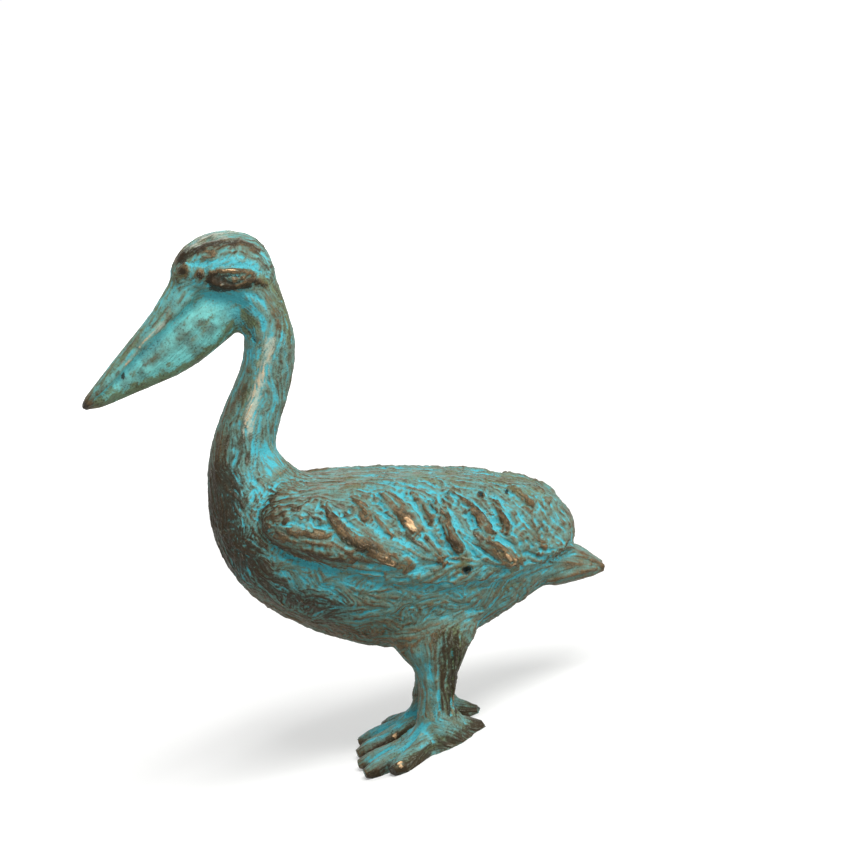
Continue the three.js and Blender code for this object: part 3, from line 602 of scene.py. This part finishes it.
def combing_tree():
    """Geometry Nodes that comb the skin along its flow, and the wings more coarsely too."""
    tree = bpy.data.node_groups.new("combing", "GeometryNodeTree")
    sockets = tree.interface
    sockets.new_socket("Geometry", in_out="INPUT", socket_type="NodeSocketGeometry")
    for name in ("Stroke Width", "Stroke Depth", "Plume Width", "Plume Depth", "Seed"):
        sockets.new_socket(name, in_out="INPUT", socket_type="NodeSocketFloat")
    sockets.new_socket("Material", in_out="INPUT", socket_type="NodeSocketMaterial")
    sockets.new_socket("Geometry", in_out="OUTPUT", socket_type="NodeSocketGeometry")
    t = Tree(tree)
    source = tree.nodes.new("NodeGroupInput")
    given = {name: Value(t, source.outputs[name]) for name in source.outputs.keys() if name}

    def attribute(name, kind="FLOAT"):
        return t.node("GeometryNodeInputNamedAttribute", {"data_type": kind}, {"Name": name})

    flow = attribute("flow", "FLOAT_VECTOR")
    place = t.node("GeometryNodeInputPosition")

    def combed(width, seed):
        """Noise that is drawn out along the flow, from -1 to 1."""
        total = 0.0
        for k in range(-STROKE_REACH, STROKE_REACH + 1):
            total = t.node("ShaderNodeTexNoise", {"noise_dimensions": "4D"}, {
                "Vector": place + flow * (width * (STROKE_STEP * k)), "W": seed,
                "Scale": 1.0 / width, "Detail": 0.0}) + total
        drawn_out = total / (2.0 * STROKE_REACH + 1.0) - 0.5
        return (drawn_out.between(-STROKE_SWING, STROKE_SWING) - 0.5) * 2.0

    fine = combed(given["Stroke Width"], given["Seed"])
    coarse = combed(given["Plume Width"], given["Seed"] + 7.0)
    lift = (fine * attribute("combed") * given["Stroke Depth"]
            + coarse * attribute("plumed") * given["Plume Depth"])
    normal = t.node("GeometryNodeInputNormal")
    moved = t.node("GeometryNodeSetPosition", {}, {
        "Geometry": given["Geometry"], "Offset": normal * lift})
    plain = t.node("GeometryNodeRealizeInstances", {}, {"Geometry": moved})
    dressed = t.node("GeometryNodeSetMaterial", {}, {
        "Geometry": plain, "Material": given["Material"]})
    t.node("NodeGroupOutput", {}, {"Geometry": dressed})
    return tree


def store(mesh, name, values):
    """Keeps a number or a vector with every point of a mesh."""
    kind, key = ("FLOAT", "value") if values.ndim == 1 else ("FLOAT_VECTOR", "vector")
    attribute = mesh.attributes.new(name, kind, "POINT")
    attribute.data.foreach_set(key, values.astype(np.float32).ravel())


def seen_ray(t):
    """1 where the camera looks, also by way of a shiny or clear surface, and 0 for other light."""
    path = t.node("ShaderNodeLightPath", output="Is Camera Ray")
    outputs = path.socket.node.outputs
    for key in ("Is Glossy Ray", "Is Transmission Ray"):
        path = path.math("MAXIMUM", Value(t, outputs[key]))
    return path


def side_view(points):
    """The points as seen from the left: x and z."""
    return points[:, [0, 2]]


def drift(points, size, seed):
    """A smooth field between about -1 and 1 that wanders over the space round the figure."""
    draw = np.random.default_rng(seed)
    total = np.zeros(len(points))
    for _ in range(DRIFT_WAVES):
        way = draw.normal(size=3)
        way *= 2 * math.pi / (size * draw.uniform(0.7, 1.5) * np.linalg.norm(way))
        total += np.sin(points @ way + draw.uniform(0, 2 * math.pi))
    return total / DRIFT_WAVES ** 0.5


def flow_field(points, normals, swirl):
    """The direction of the strokes at each point, along the surface."""
    places = np.array([row[:2] for row in FLOW])
    angles = np.radians([row[2] for row in FLOW])
    # twice the angle, because a stroke has no front or back, and the nearest places count most
    gap = np.linalg.norm(side_view(points)[:, None, :] - places[None], axis=2)
    weight = 1 / (gap + 0.6) ** 4
    angle = 0.5 * np.arctan2(weight @ np.sin(2 * angles), weight @ np.cos(2 * angles))
    angle += swirl * sum(share * drift(points, size, seed) for size, share, seed in SWIRLS)
    flow = np.stack([np.cos(angle), np.zeros(len(angle)), np.sin(angle)], axis=1)
    flow -= normals * (flow * normals).sum(1)[:, None]
    return flow / np.maximum(np.linalg.norm(flow, axis=1), 0.2)[:, None]


def by_node(table, owner):
    """Each point's value from a table by part. Left and right pieces share one entry."""
    parts = [name.removeprefix("left_").removeprefix("right_") for name in NODES]
    return np.array([table.get(part, 0.0) for part in parts])[owner]


def run_seams_together(skin, owner, rounds):
    """Flows the seams that the casting hides into one skin, and leaves the others as they are."""
    own = owner.astype(float)
    seam = np.abs(skin.average(own) - own) > 1e-6

    def beside(part):
        share = by_node({part: 1.0}, owner)
        return np.maximum(share, skin.average(share)) > 0

    crisp = beside("upper_bill") & beside("pouch")
    shoulder = beside("wing") & (skin.points[:, 0] < 1) & (skin.normals()[:, 2] < 0.1)
    weight = np.where(seam & ~crisp, np.where(shoulder, SHOULDER_SEAM, 1.0), 0.0)
    weight = np.clip(SEAM_GAIN * skin.smoothed(weight, SEAM_SPREAD), 0, 1)
    weight = np.maximum(weight, painted(side_view(skin.points), [NAIL_END]))[:, None]
    points = skin.points
    for _ in range(rounds):
        points = points + 0.5 * weight * (skin.average(points) - points)
    return points


def length_property(name, description, default):
    return bpy.props.FloatProperty(
        name=name, description=description, default=default, unit="LENGTH")


def colour_property(name, description, text):
    return bpy.props.FloatVectorProperty(
        name=name, description=description, size=3, subtype="COLOR", min=0, max=1,
        default=colour(text))


class CastingSizes(bpy.types.PropertyGroup):
    grain: length_property("Grain", "Width of the casting mesh's faces", 0.0002)
    seam_fill: length_property(
        "Seam fill", "How far the solids swell to close their seams", 0.00026)
    softening: bpy.props.IntProperty(
        name="Softening", description="Rounds of softening before the relief is cut", default=60)
    seam_softening: bpy.props.IntProperty(
        name="Seam softening", description="Rounds of softening along the hidden seams",
        default=120)


class ReliefSizes(bpy.types.PropertyGroup):
    stroke_width: length_property("Stroke width", "Width of a combed stroke", 0.0005)
    stroke_depth: length_property("Stroke depth", "Height of a combed stroke", 0.00014)
    plume_width: length_property("Plume width", "Width of the small plumes on the wings", 0.0011)
    plume_depth: length_property("Plume depth", "Height of the small plumes on the wings", 0.00026)
    seed: bpy.props.FloatProperty(
        name="Seed", description="Picks one of many layouts of the strokes", default=3.0)


class PatinaColours(bpy.types.PropertyGroup):
    bright: colour_property("Bright verdigris", "Fresh verdigris in the hollows", "45a7b3")
    skin: colour_property("Smooth verdigris", "Verdigris on the smooth pouch and face", "78ccc6")
    grey: colour_property("Grey verdigris", "Older, greyer verdigris", "5c8077")
    olive: colour_property("Olive", "Thin verdigris over bronze", "5a6655")
    # this colour is pale specks of dried verdigris, and also the painted highlights
    chalk_and_highlight: colour_property("Chalk", "Pale specks of dried verdigris", "b2bfae")
    moss: colour_property("Moss", "Green-brown patina on edges and undersides", "646c42")
    bronze: colour_property("Bronze", "Rubbed brown bronze on the high places", "6e573a")
    # this colour is also the painted shade in the creases and on the breast, the neck, the legs and
    # the feet
    dark: colour_property("Dark bronze", "Dark bronze at the eyes, brows and nail", "261d10")
    # this colour is also that of the painted glints on the bill, the neck and the eyelid
    brass_and_glint: colour_property("Brass", "Bare brass where fingers rub", "c9a57c")


class StudioSettings(bpy.types.PropertyGroup):
    floor_radius: length_property("Floor radius", "Radius of the studio floor", 6.0)
    floor_colour: colour_property("Floor", "Colour that the studio floor throws back", "b4b4b2")
    world_light: bpy.props.FloatProperty(
        name="Soft light", description="Strength of the white light from all round", default=0.36)
    world_seen: bpy.props.FloatProperty(
        name="Backdrop", description="What the backdrop adds to it where it is seen", default=0.66)
    lens: bpy.props.FloatProperty(
        name="Lens", description="Focal length on a 36 mm sensor, in mm", default=122.5)
    roll: bpy.props.FloatProperty(
        name="Roll", description="How far the camera is rolled", default=math.radians(21),
        subtype="ANGLE")
    pitch: bpy.props.FloatProperty(
        name="Pitch", description="How far the camera looks down", default=math.radians(11),
        subtype="ANGLE")


def patina_material(name, colours):
    """Verdigris in the hollows and bronze on the high places, with the casting's stains and the
    painted shade and highlights.
    """
    material = bpy.data.materials.new(name)
    material.use_nodes = True
    t = Tree(material.node_tree)

    def attribute(key, output="Fac"):
        return t.node("ShaderNodeAttribute", {"attribute_name": key}, output=output)

    def tone(key):
        return (*getattr(colours, key), 1.0)

    def noise(scale, detail, rough=0.6):
        return t.node("ShaderNodeTexNoise", {}, {
            "Vector": place, "Scale": scale, "Detail": detail, "Roughness": rough})

    def along_strokes(scale, step, reach):
        """Noise that is drawn out along the strokes, about 0 on average."""
        total = 0.0
        for k in range(-reach, reach + 1):
            total = t.node("ShaderNodeTexNoise", {}, {
                "Vector": place + flow * (step * k), "Scale": scale, "Detail": 0.0}) + total
        return total / (2.0 * reach + 1.0) - 0.5

    place = t.node("ShaderNodeTexCoord", output="Object")
    flow = attribute("flow", "Vector")
    blotch = noise(260.0, 4.0)
    mottle = noise(900.0, 4.0, 0.65)
    speck = noise(3200.0, 3.0, 0.7)
    grit = noise(5200.0, 2.0)
    brushed = along_strokes(3200.0, 0.00026, 3)
    streaks = along_strokes(1100.0, 0.0005, 2)
    relief, form, smooth, dark, moss, bright, brass_and_glint, rub_and_shade, shade_and_grime, pale = (
        attribute(key) for key in POINT_VALUES)

    # how far the verdigris has been rubbed off, from the hollows to the high places, with painted
    # shade on the undersides and painted light on the belly
    lively = 1.0 - smooth * 0.8
    wear_and_painted_light = (relief * 0.36 + form * 0.3 + (brushed * 2.3 + streaks * 2.6) * lively
            + (mottle - 0.5) * 1.1 + (blotch - 0.5) + rub_and_shade - bright * 0.7)
    base = t.mix(wear_and_painted_light.between(-0.75, 0.0), tone("bright"), tone("grey"))
    satin = t.mix(blotch.between(0.4, 0.65), tone("skin"), tone("grey"))
    base = t.mix(smooth * (0.8 - bright * 0.5), base, satin)
    stain = (moss * 1.1 + (mottle - 0.5) * 2.0 + (speck - 0.5) * 1.2 + streaks * 3.0)
    stain = stain.between(0.25, 1.0)
    base = t.mix(stain * 0.75, base, tone("moss"))
    base = t.mix(wear_and_painted_light.between(-0.1, 0.45) * 0.85, base, tone("olive"))

    # the metal under it, with moss in its dips; painted shade bares more of it on the undersides,
    # and painted light less on the belly
    bared_and_shaded = wear_and_painted_light.between(0.25, 0.95)
    metal = (speck - 0.5) * 1.6 + (mottle - 0.5) + relief * 0.2 + 0.5
    metal = t.mix(metal.between(0.2, 0.8), tone("dark"), tone("bronze"))
    base = t.mix(bared_and_shaded * 0.92, base, metal)
    base = t.mix(stain * 0.4, base, tone("moss"))

    # dirt in the strokes with painted shade on the breast, the neck, the legs and the feet, dark
    # bronze round the eyes with painted shade in the throat's crease and under the wing's front
    # edge, and dark cracks and specks all over
    dirt_and_shade = (shade_and_grime * 1.2 - bright + relief * 0.4 + brushed * 2.4 + streaks * 1.8
            + (mottle - 0.5) * 1.2)
    base = t.mix(dirt_and_shade.between(0.2, 1.0) * 0.85, base, tone("dark"))
    # the near-black strokes: dark bronze round the eyes, and painted shade in the throat's crease
    # and under the wing's front edge
    dark_bronze_and_shade = dark * 1.3 + (speck - 0.5) * 1.5 + (mottle - 0.5) * 0.9 + brushed
    base = t.mix(dark_bronze_and_shade.between(0.4, 0.75) * 0.9, base, tone("dark"))
    crevice = (brushed * -1.1 + (grit - 0.5) * 1.2 + (mottle - 0.5)).between(0.15, 0.6)
    base = t.mix(crevice * 0.55 * (1.0 - bright * 0.5), base, tone("dark"))
    freckles = speck + (blotch - 0.5) * 0.5 + moss * 0.1 + shade_and_grime * 0.06
    base = t.mix(freckles.between(0.58, 0.7) * 0.55, base, tone("dark"))
    pepper = (grit + (speck - 0.5) * 0.6 + (mottle - 0.5) * 0.4).between(0.55, 0.75)
    base = t.mix(pepper * 0.5 * (1.0 - bright * 0.4), base, tone("dark"))

    # dried verdigris and bare brass on top, with painted highlights: pale ones down the neck, along
    # the bill's ridge and on the crown, and brass glints on the neck, the bill's ridge and the
    # eyelid
    chalk_and_highlight = (pale * 0.8 + (grit - 0.5) + brushed * 2.6 + streaks * 1.5
             + (mottle - 0.5) * 1.2).between(0.15, 0.75)
    base = t.mix(chalk_and_highlight * (pale * 0.6 + 0.25), base, tone("chalk_and_highlight"))
    # bare brass, with painted glints on the bill's ridge, the neck and the eyelid
    shine = (brass_and_glint * 1.1 + (speck - 0.5) + relief * 0.2 + brushed * 2.0).between(0.45, 0.95)
    base = t.mix(shine * 0.7, base, tone("brass_and_glint"))

    rough = 0.55 - bared_and_shaded * 0.12 - shine * 0.15 - pale * 0.15 + (speck - 0.5) * 0.2
    height = grit * 0.4 + speck * 0.6 + mottle * 0.4 + brushed * 3.0
    bump = t.node("ShaderNodeBump", {}, {"Strength": 0.7, "Distance": 0.00014, "Height": height})
    shader = t.node("ShaderNodeBsdfPrincipled", {}, {
        "Base Color": base, "Metallic": bared_and_shaded * 0.35 + shine * 0.4, "Roughness": rough,
        "Specular IOR Level": 0.2, "Normal": bump})
    t.node("ShaderNodeOutputMaterial", {}, {"Surface": shader})
    return material


def comb(thing, relief):
    """Combs an object's mesh and leaves it plain."""
    modifier = thing.modifiers.new("combing", "NODES")
    modifier.node_group = combing_tree()
    wanted = {
        "Stroke Width": relief.stroke_width / MM, "Stroke Depth": relief.stroke_depth / MM,
        "Plume Width": relief.plume_width / MM, "Plume Depth": relief.plume_depth / MM,
        "Seed": relief.seed, "Material": bpy.data.materials["verdigris"]}
    for item in modifier.node_group.interface.items_tree:
        if item.in_out == "INPUT" and item.name in wanted:
            modifier[item.identifier] = wanted[item.name]
    return made_plain(thing)


def keep_stains_and_painted_light(mesh, skin, flat, spread):
    """Keeps with the casting's points what the patina, with its painted shade and highlights, reads
    there.
    """
    normals = skin.normals()
    store(mesh, "whole_normal", normals)
    for name, (rounds, step) in (("relief", RELIEF), ("form", FORM)):
        height = ((skin.points - skin.smoothed(skin.points, rounds)) * normals).sum(1)
        store(mesh, name, np.clip(height / step, -2, 2))
    store(mesh, "skin", spread(SMOOTH, 20))
    for name, strokes in (("dark", DARK), ("moss", MOSS), ("shade_and_grime", SHADE_AND_GRIME), ("pale", PAINTED_HIGHLIGHTS)):
        store(mesh, name, painted(flat, strokes))
    # the other stains, with the painted light on the belly and the glints, fade towards the back
    # and the breast, where they would run on as bands
    sideways = np.clip((np.abs(normals[:, 1]) - 0.1) / 0.4, 0.25, 1)
    sideways = np.maximum(sideways, spread(WRAPPED, 15))
    for name, strokes in (("bright", BRIGHT), ("brass_and_glint", BRASS_AND_GLINTS)):
        store(mesh, name, painted(flat, strokes) * sideways)
    rub_and_shade = spread(RUBBED, 30) + painted(flat, BROWN) * sideways
    # the plumes are rubbed too, and the skin that faces down turns browner, as worn bronze and as
    # painted shade
    tips = [(path, 1.1 * width, 1.0) for path, width, _ in PLUMES]
    rub_and_shade += 0.75 * raised(flat, tips, plume=True) * spread(WINGS, 6)
    rub_and_shade += 0.25 * np.clip(-normals[:, 2] - 0.1, 0, 1)
    store(mesh, "rub_and_shade", rub_and_shade)


class PELICAN_OT_casting(bpy.types.Operator):
    """Run the solids together, soften them, raise the plumes and folds, and comb the skin"""
    bl_idname = "pelican.casting"
    bl_label = "Cast the whole figure"

    def execute(self, context):
        sizes = context.scene.pelican_casting
        fill = sizes.seam_fill / MM
        skin, owner = fused_solids(sizes.grain / MM, fill)

        def spread(table, rounds):
            """The values of a table by part, run together over the seams."""
            return skin.smoothed(by_node(table, owner), rounds)

        skin.soften(sizes.softening, spread(SOFTNESS, 12))
        skin.points = skin.points - fill * skin.normals()
        skin.points = run_seams_together(skin, owner, sizes.seam_softening)
        normals, flat = skin.normals(), side_view(skin.points)
        plumes = raised(flat, PLUMES, plume=True) * np.minimum(1, 2 * spread(WINGS, 6))
        lift = raised(flat, FOLDS) + plumes
        # the paths lie on the sides, so the skin that faces other ways stays plain
        lift *= np.clip((np.abs(normals[:, 1]) - 0.15) / 0.35, 0, 1)
        lumps = np.clip(drift(skin.points, LUMP_WIDTH, LUMP_SEED) * 1.4, -1, 1)
        lift += LUMP_HEIGHT * spread(ROUGH, 15) * lumps
        skin.points = skin.points + normals * lift[:, None]

        thing = mesh_object("casting", skin.points, skin.quads.tolist())
        flow = flow_field(skin.points, skin.normals(), spread(SWIRL, 15))
        store(thing.data, "flow", flow)
        store(thing.data, "combed", spread(COMBED, 15) * (1 - 0.6 * painted(flat, BRIGHT)))
        store(thing.data, "plumed", spread(PLUMED, 15))
        mesh = comb(thing, context.scene.pelican_relief)
        skin.points, _ = quads_of(mesh)
        skin.tame(SPIKE_REACH, SPIKE_ROUNDS)
        skin.points[:, 2] = np.maximum(skin.points[:, 2], 0)
        mesh.vertices.foreach_set("co", skin.points.ravel())
        keep_stains_and_painted_light(mesh, skin, flat, spread)
        # a face on a seam goes whole to one of the solids that its corners came from
        owners = mesh.attributes.new("owner", "INT", "FACE")
        face_owner = np.sort(owner[skin.quads], axis=1)[:, 1]
        owners.data.foreach_set("value", face_owner.astype(np.int32))
        return {"FINISHED"}


def open_rims(faces):
    """Each open rim of some faces, as a list of corners against the way that the faces turn."""
    edges = dict.fromkeys((a, b) for face in faces for a, b in zip(face, face[1:] + face[:1]))
    onward = {}
    for a, b in edges:
        if (b, a) not in edges:
            onward.setdefault(b, []).append(a)
    while onward:
        start = next(iter(onward))
        loop, here = [], start
        while not loop or here != start:
            loop.append(here)
            ahead = onward[here].pop()
            if not onward[here]:
                del onward[here]
            here = ahead
        yield loop


def take_piece(name):
    """Cuts one piece out of the casting, closes it where its neighbours were, and places it."""
    casting = bpy.data.objects["casting"].data
    kept = casting.attributes
    points, quads = quads_of(casting)
    normals = read(kept["whole_normal"].data, "vector", 3)
    own = read(kept["owner"].data, "value", kind=np.int32) == NODES.index(name)
    used, corners = np.unique(quads[own], return_inverse=True)
    corners = corners.reshape(-1, 4)
    faces, extra = corners.tolist(), []
    # each open rim gets a wall and a cap that sink into the casting
    for loop in list(open_rims(faces)):
        rim, inward = points[used[loop]], -normals[used[loop]]
        sunk = len(used) + len(extra)
        pole = sunk + len(loop)
        extra += [*(rim + RIM_DEPTH * inward), rim.mean(0) + POLE_DEPTH * inward.mean(0)]
        for k, (a, b) in enumerate(zip(loop, loop[1:] + loop[:1])):
            c, d = sunk + (k + 1) % len(loop), sunk + k
            faces += [[a, b, c, d], [d, c, pole]]
    all_points = np.concatenate([points[used], np.reshape(extra, (-1, 3))])
    piece = mesh_object("pelican_" + name, all_points * MM, faces)
    mesh = piece.data
    mesh.materials.append(bpy.data.materials["verdigris"])
    mesh.polygons.foreach_set("use_smooth", np.arange(len(faces)) < len(corners))
    flow = read(kept["flow"].data, "vector", 3)
    store(mesh, "flow", np.concatenate([flow[used], np.zeros((len(extra), 3))]))
    for key in POINT_VALUES:
        values = read(kept[key].data, "value")
        store(mesh, key, np.concatenate([values[used], np.zeros(len(extra))]))
    # the casting's own normals, so that no seam shows between two pieces
    turned = np.zeros((len(mesh.loops), 3))
    turned[:corners.size] = normals[used][corners.ravel()]
    mesh.normals_split_custom_set(turned.tolist())
    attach(piece, "root")
    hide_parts(name)


class PELICAN_OT_trunk(bpy.types.Operator):
    """Take the body and the tail out of the casting"""
    bl_idname = "pelican.trunk"
    bl_label = "Body and tail"

    def execute(self, context):
        for name in ("body", "tail"):
            take_piece(name)
        return {"FINISHED"}


class PELICAN_OT_head(bpy.types.Operator):
    """Take the neck, the head, the bill and its pouch out of the casting"""
    bl_idname = "pelican.head"
    bl_label = "Neck, head and bill"

    def execute(self, context):
        for name in ("neck", "head", "pouch"):
            take_piece(name)
        take_piece("upper_bill")
        return {"FINISHED"}


class PELICAN_OT_wings(bpy.types.Operator):
    """Take both wings out of the casting"""
    bl_idname = "pelican.wings"
    bl_label = "Wings"

    def execute(self, context):
        for name in ("left_wing", "right_wing"):
            take_piece(name)
        return {"FINISHED"}


class PELICAN_OT_legs(bpy.types.Operator):
    """Take the legs and the webbed feet out of the casting"""
    bl_idname = "pelican.legs"
    bl_label = "Legs and feet"

    def execute(self, context):
        for name in ("left_leg", "right_leg", "left_foot", "right_foot"):
            take_piece(name)
        return {"FINISHED"}


class PELICAN_OT_finish(bpy.types.Operator):
    """Mix the patina"""
    bl_idname = "pelican.finish"
    bl_label = "Patina"

    def execute(self, context):
        patina_material("verdigris", context.scene.pelican_patina)
        return {"FINISHED"}


class PELICAN_OT_stage(bpy.types.Operator):
    """Lay the floor, hang the lamps and place the camera"""
    bl_idname = "pelican.stage"
    bl_label = "Studio"

    def execute(self, context):
        settings = context.scene.pelican_studio
        self.lay_floor(settings)
        self.hang_lamps(settings)
        self.place_camera(settings)
        context.scene.view_settings.view_transform = "Standard"
        return {"FINISHED"}

    def lay_floor(self, settings):
        turns = [2 * math.pi * k / FLOOR_CORNERS for k in range(FLOOR_CORNERS)]
        rim = settings.floor_radius * np.array([(math.cos(a), math.sin(a), 0) for a in turns])
        floor = mesh_object("floor", rim, [list(range(FLOOR_CORNERS))])
        material = bpy.data.materials.new("floor")
        material.use_nodes = True
        t = Tree(material.node_tree)
        seen = seen_ray(t)
        lit = t.mix(seen, (*settings.floor_colour, 1.0), FLOOR_SEEN)
        paint = t.node("ShaderNodeBsdfDiffuse", {}, {"Color": lit})
        # away from the figure the floor fades into the backdrop
        away = t.node("ShaderNodeVectorMath", {"operation": "LENGTH"}, {
            0: t.node("ShaderNodeTexCoord", output="Object")}, output="Value")
        glow = t.node("ShaderNodeEmission", {}, {
            "Color": (1, 1, 1, 1), "Strength": seen * (away.between(0.1, 0.6) * 0.8 + 0.2)})
        both = t.node("ShaderNodeAddShader", {}, {0: paint, 1: glow})
        t.node("ShaderNodeOutputMaterial", {}, {"Surface": both})
        floor.data.materials.append(material)

    def hang_lamps(self, settings):
        world = bpy.data.worlds.new("studio")
        bpy.context.scene.world = world
        world.use_nodes = True
        t = Tree(world.node_tree)
        light = seen_ray(t) * settings.world_seen + settings.world_light
        glow = t.node("ShaderNodeBackground", {}, {"Color": (1, 1, 1, 1), "Strength": light})
        t.node("ShaderNodeOutputWorld", {}, {"Surface": glow})
        for name, (place, width, power) in LAMPS.items():
            lamp = bpy.data.lights.new(name, "AREA")
            lamp.size, lamp.energy = width, power
            thing = bpy.data.objects.new(name, lamp)
            turn = (Vector(place) - Vector(LAMP_AIM)).to_track_quat("Z", "Y")
            thing.matrix_world = Matrix.Translation(place) @ turn.to_matrix().to_4x4()
            bpy.context.scene.collection.objects.link(thing)

    def place_camera(self, settings):
        down, roll = settings.pitch, settings.roll
        forward = Vector((0, math.cos(down), -math.sin(down)))
        level = Vector((1, 0, 0))
        upright = level.cross(forward)
        right = level * math.cos(roll) - upright * math.sin(roll)
        up = level * math.sin(roll) + upright * math.cos(roll)
        data = bpy.data.cameras.new("camera")
        data.lens, data.sensor_width = settings.lens, 36
        data.clip_start, data.clip_end = 0.01, 50
        camera = bpy.data.objects.new("camera", data)
        turn = Matrix((right, up, -forward)).transposed().to_4x4()
        camera.matrix_world = Matrix.Translation(Vector(CAMERA_PLACE) * MM) @ turn
        bpy.context.scene.collection.objects.link(camera)
        bpy.context.scene.camera = camera


class PELICAN_PT_panel(bpy.types.Panel):
    """The steps that make the pelican, in order"""
    bl_idname = "PELICAN_PT_panel"
    bl_label = "Pelican"
    bl_space_type = "VIEW_3D"
    bl_region_type = "UI"
    bl_category = "Pelican"

    def draw(self, context):
        for step in STEPS:
            self.layout.operator(step.bl_idname)
        for key in GROUPS:
            box = self.layout.box()
            settings = getattr(context.scene, key)
            for name in settings.bl_rna.properties.keys():
                if name not in ("rna_type", "name"):
                    box.prop(settings, name)


STEPS = (
    PELICAN_OT_stage, PELICAN_OT_finish, PELICAN_OT_casting, PELICAN_OT_trunk, PELICAN_OT_head,
    PELICAN_OT_wings, PELICAN_OT_legs,
)
GROUPS = {
    "pelican_casting": CastingSizes, "pelican_relief": ReliefSizes, "pelican_patina": PatinaColours,
    "pelican_studio": StudioSettings,
}


def register():
    for kind in (*GROUPS.values(), *STEPS, PELICAN_PT_panel):
        bpy.utils.register_class(kind)
    for key, kind in GROUPS.items():
        setattr(bpy.types.Scene, key, bpy.props.PointerProperty(type=kind))


def unregister():
    for key in GROUPS:
        delattr(bpy.types.Scene, key)
    for kind in (PELICAN_PT_panel, *reversed(STEPS), *reversed(GROUPS.values())):
        bpy.utils.unregister_class(kind)


def main():
    register()
    bpy.ops.pelican.stage()
    bpy.ops.pelican.finish()
    bpy.ops.pelican.casting()
    bpy.ops.pelican.trunk()
    bpy.ops.pelican.head()
    bpy.ops.pelican.wings()
    bpy.ops.pelican.legs()
    bpy.data.objects.remove(bpy.data.objects["casting"])


if __name__ == "__main__":
    main()
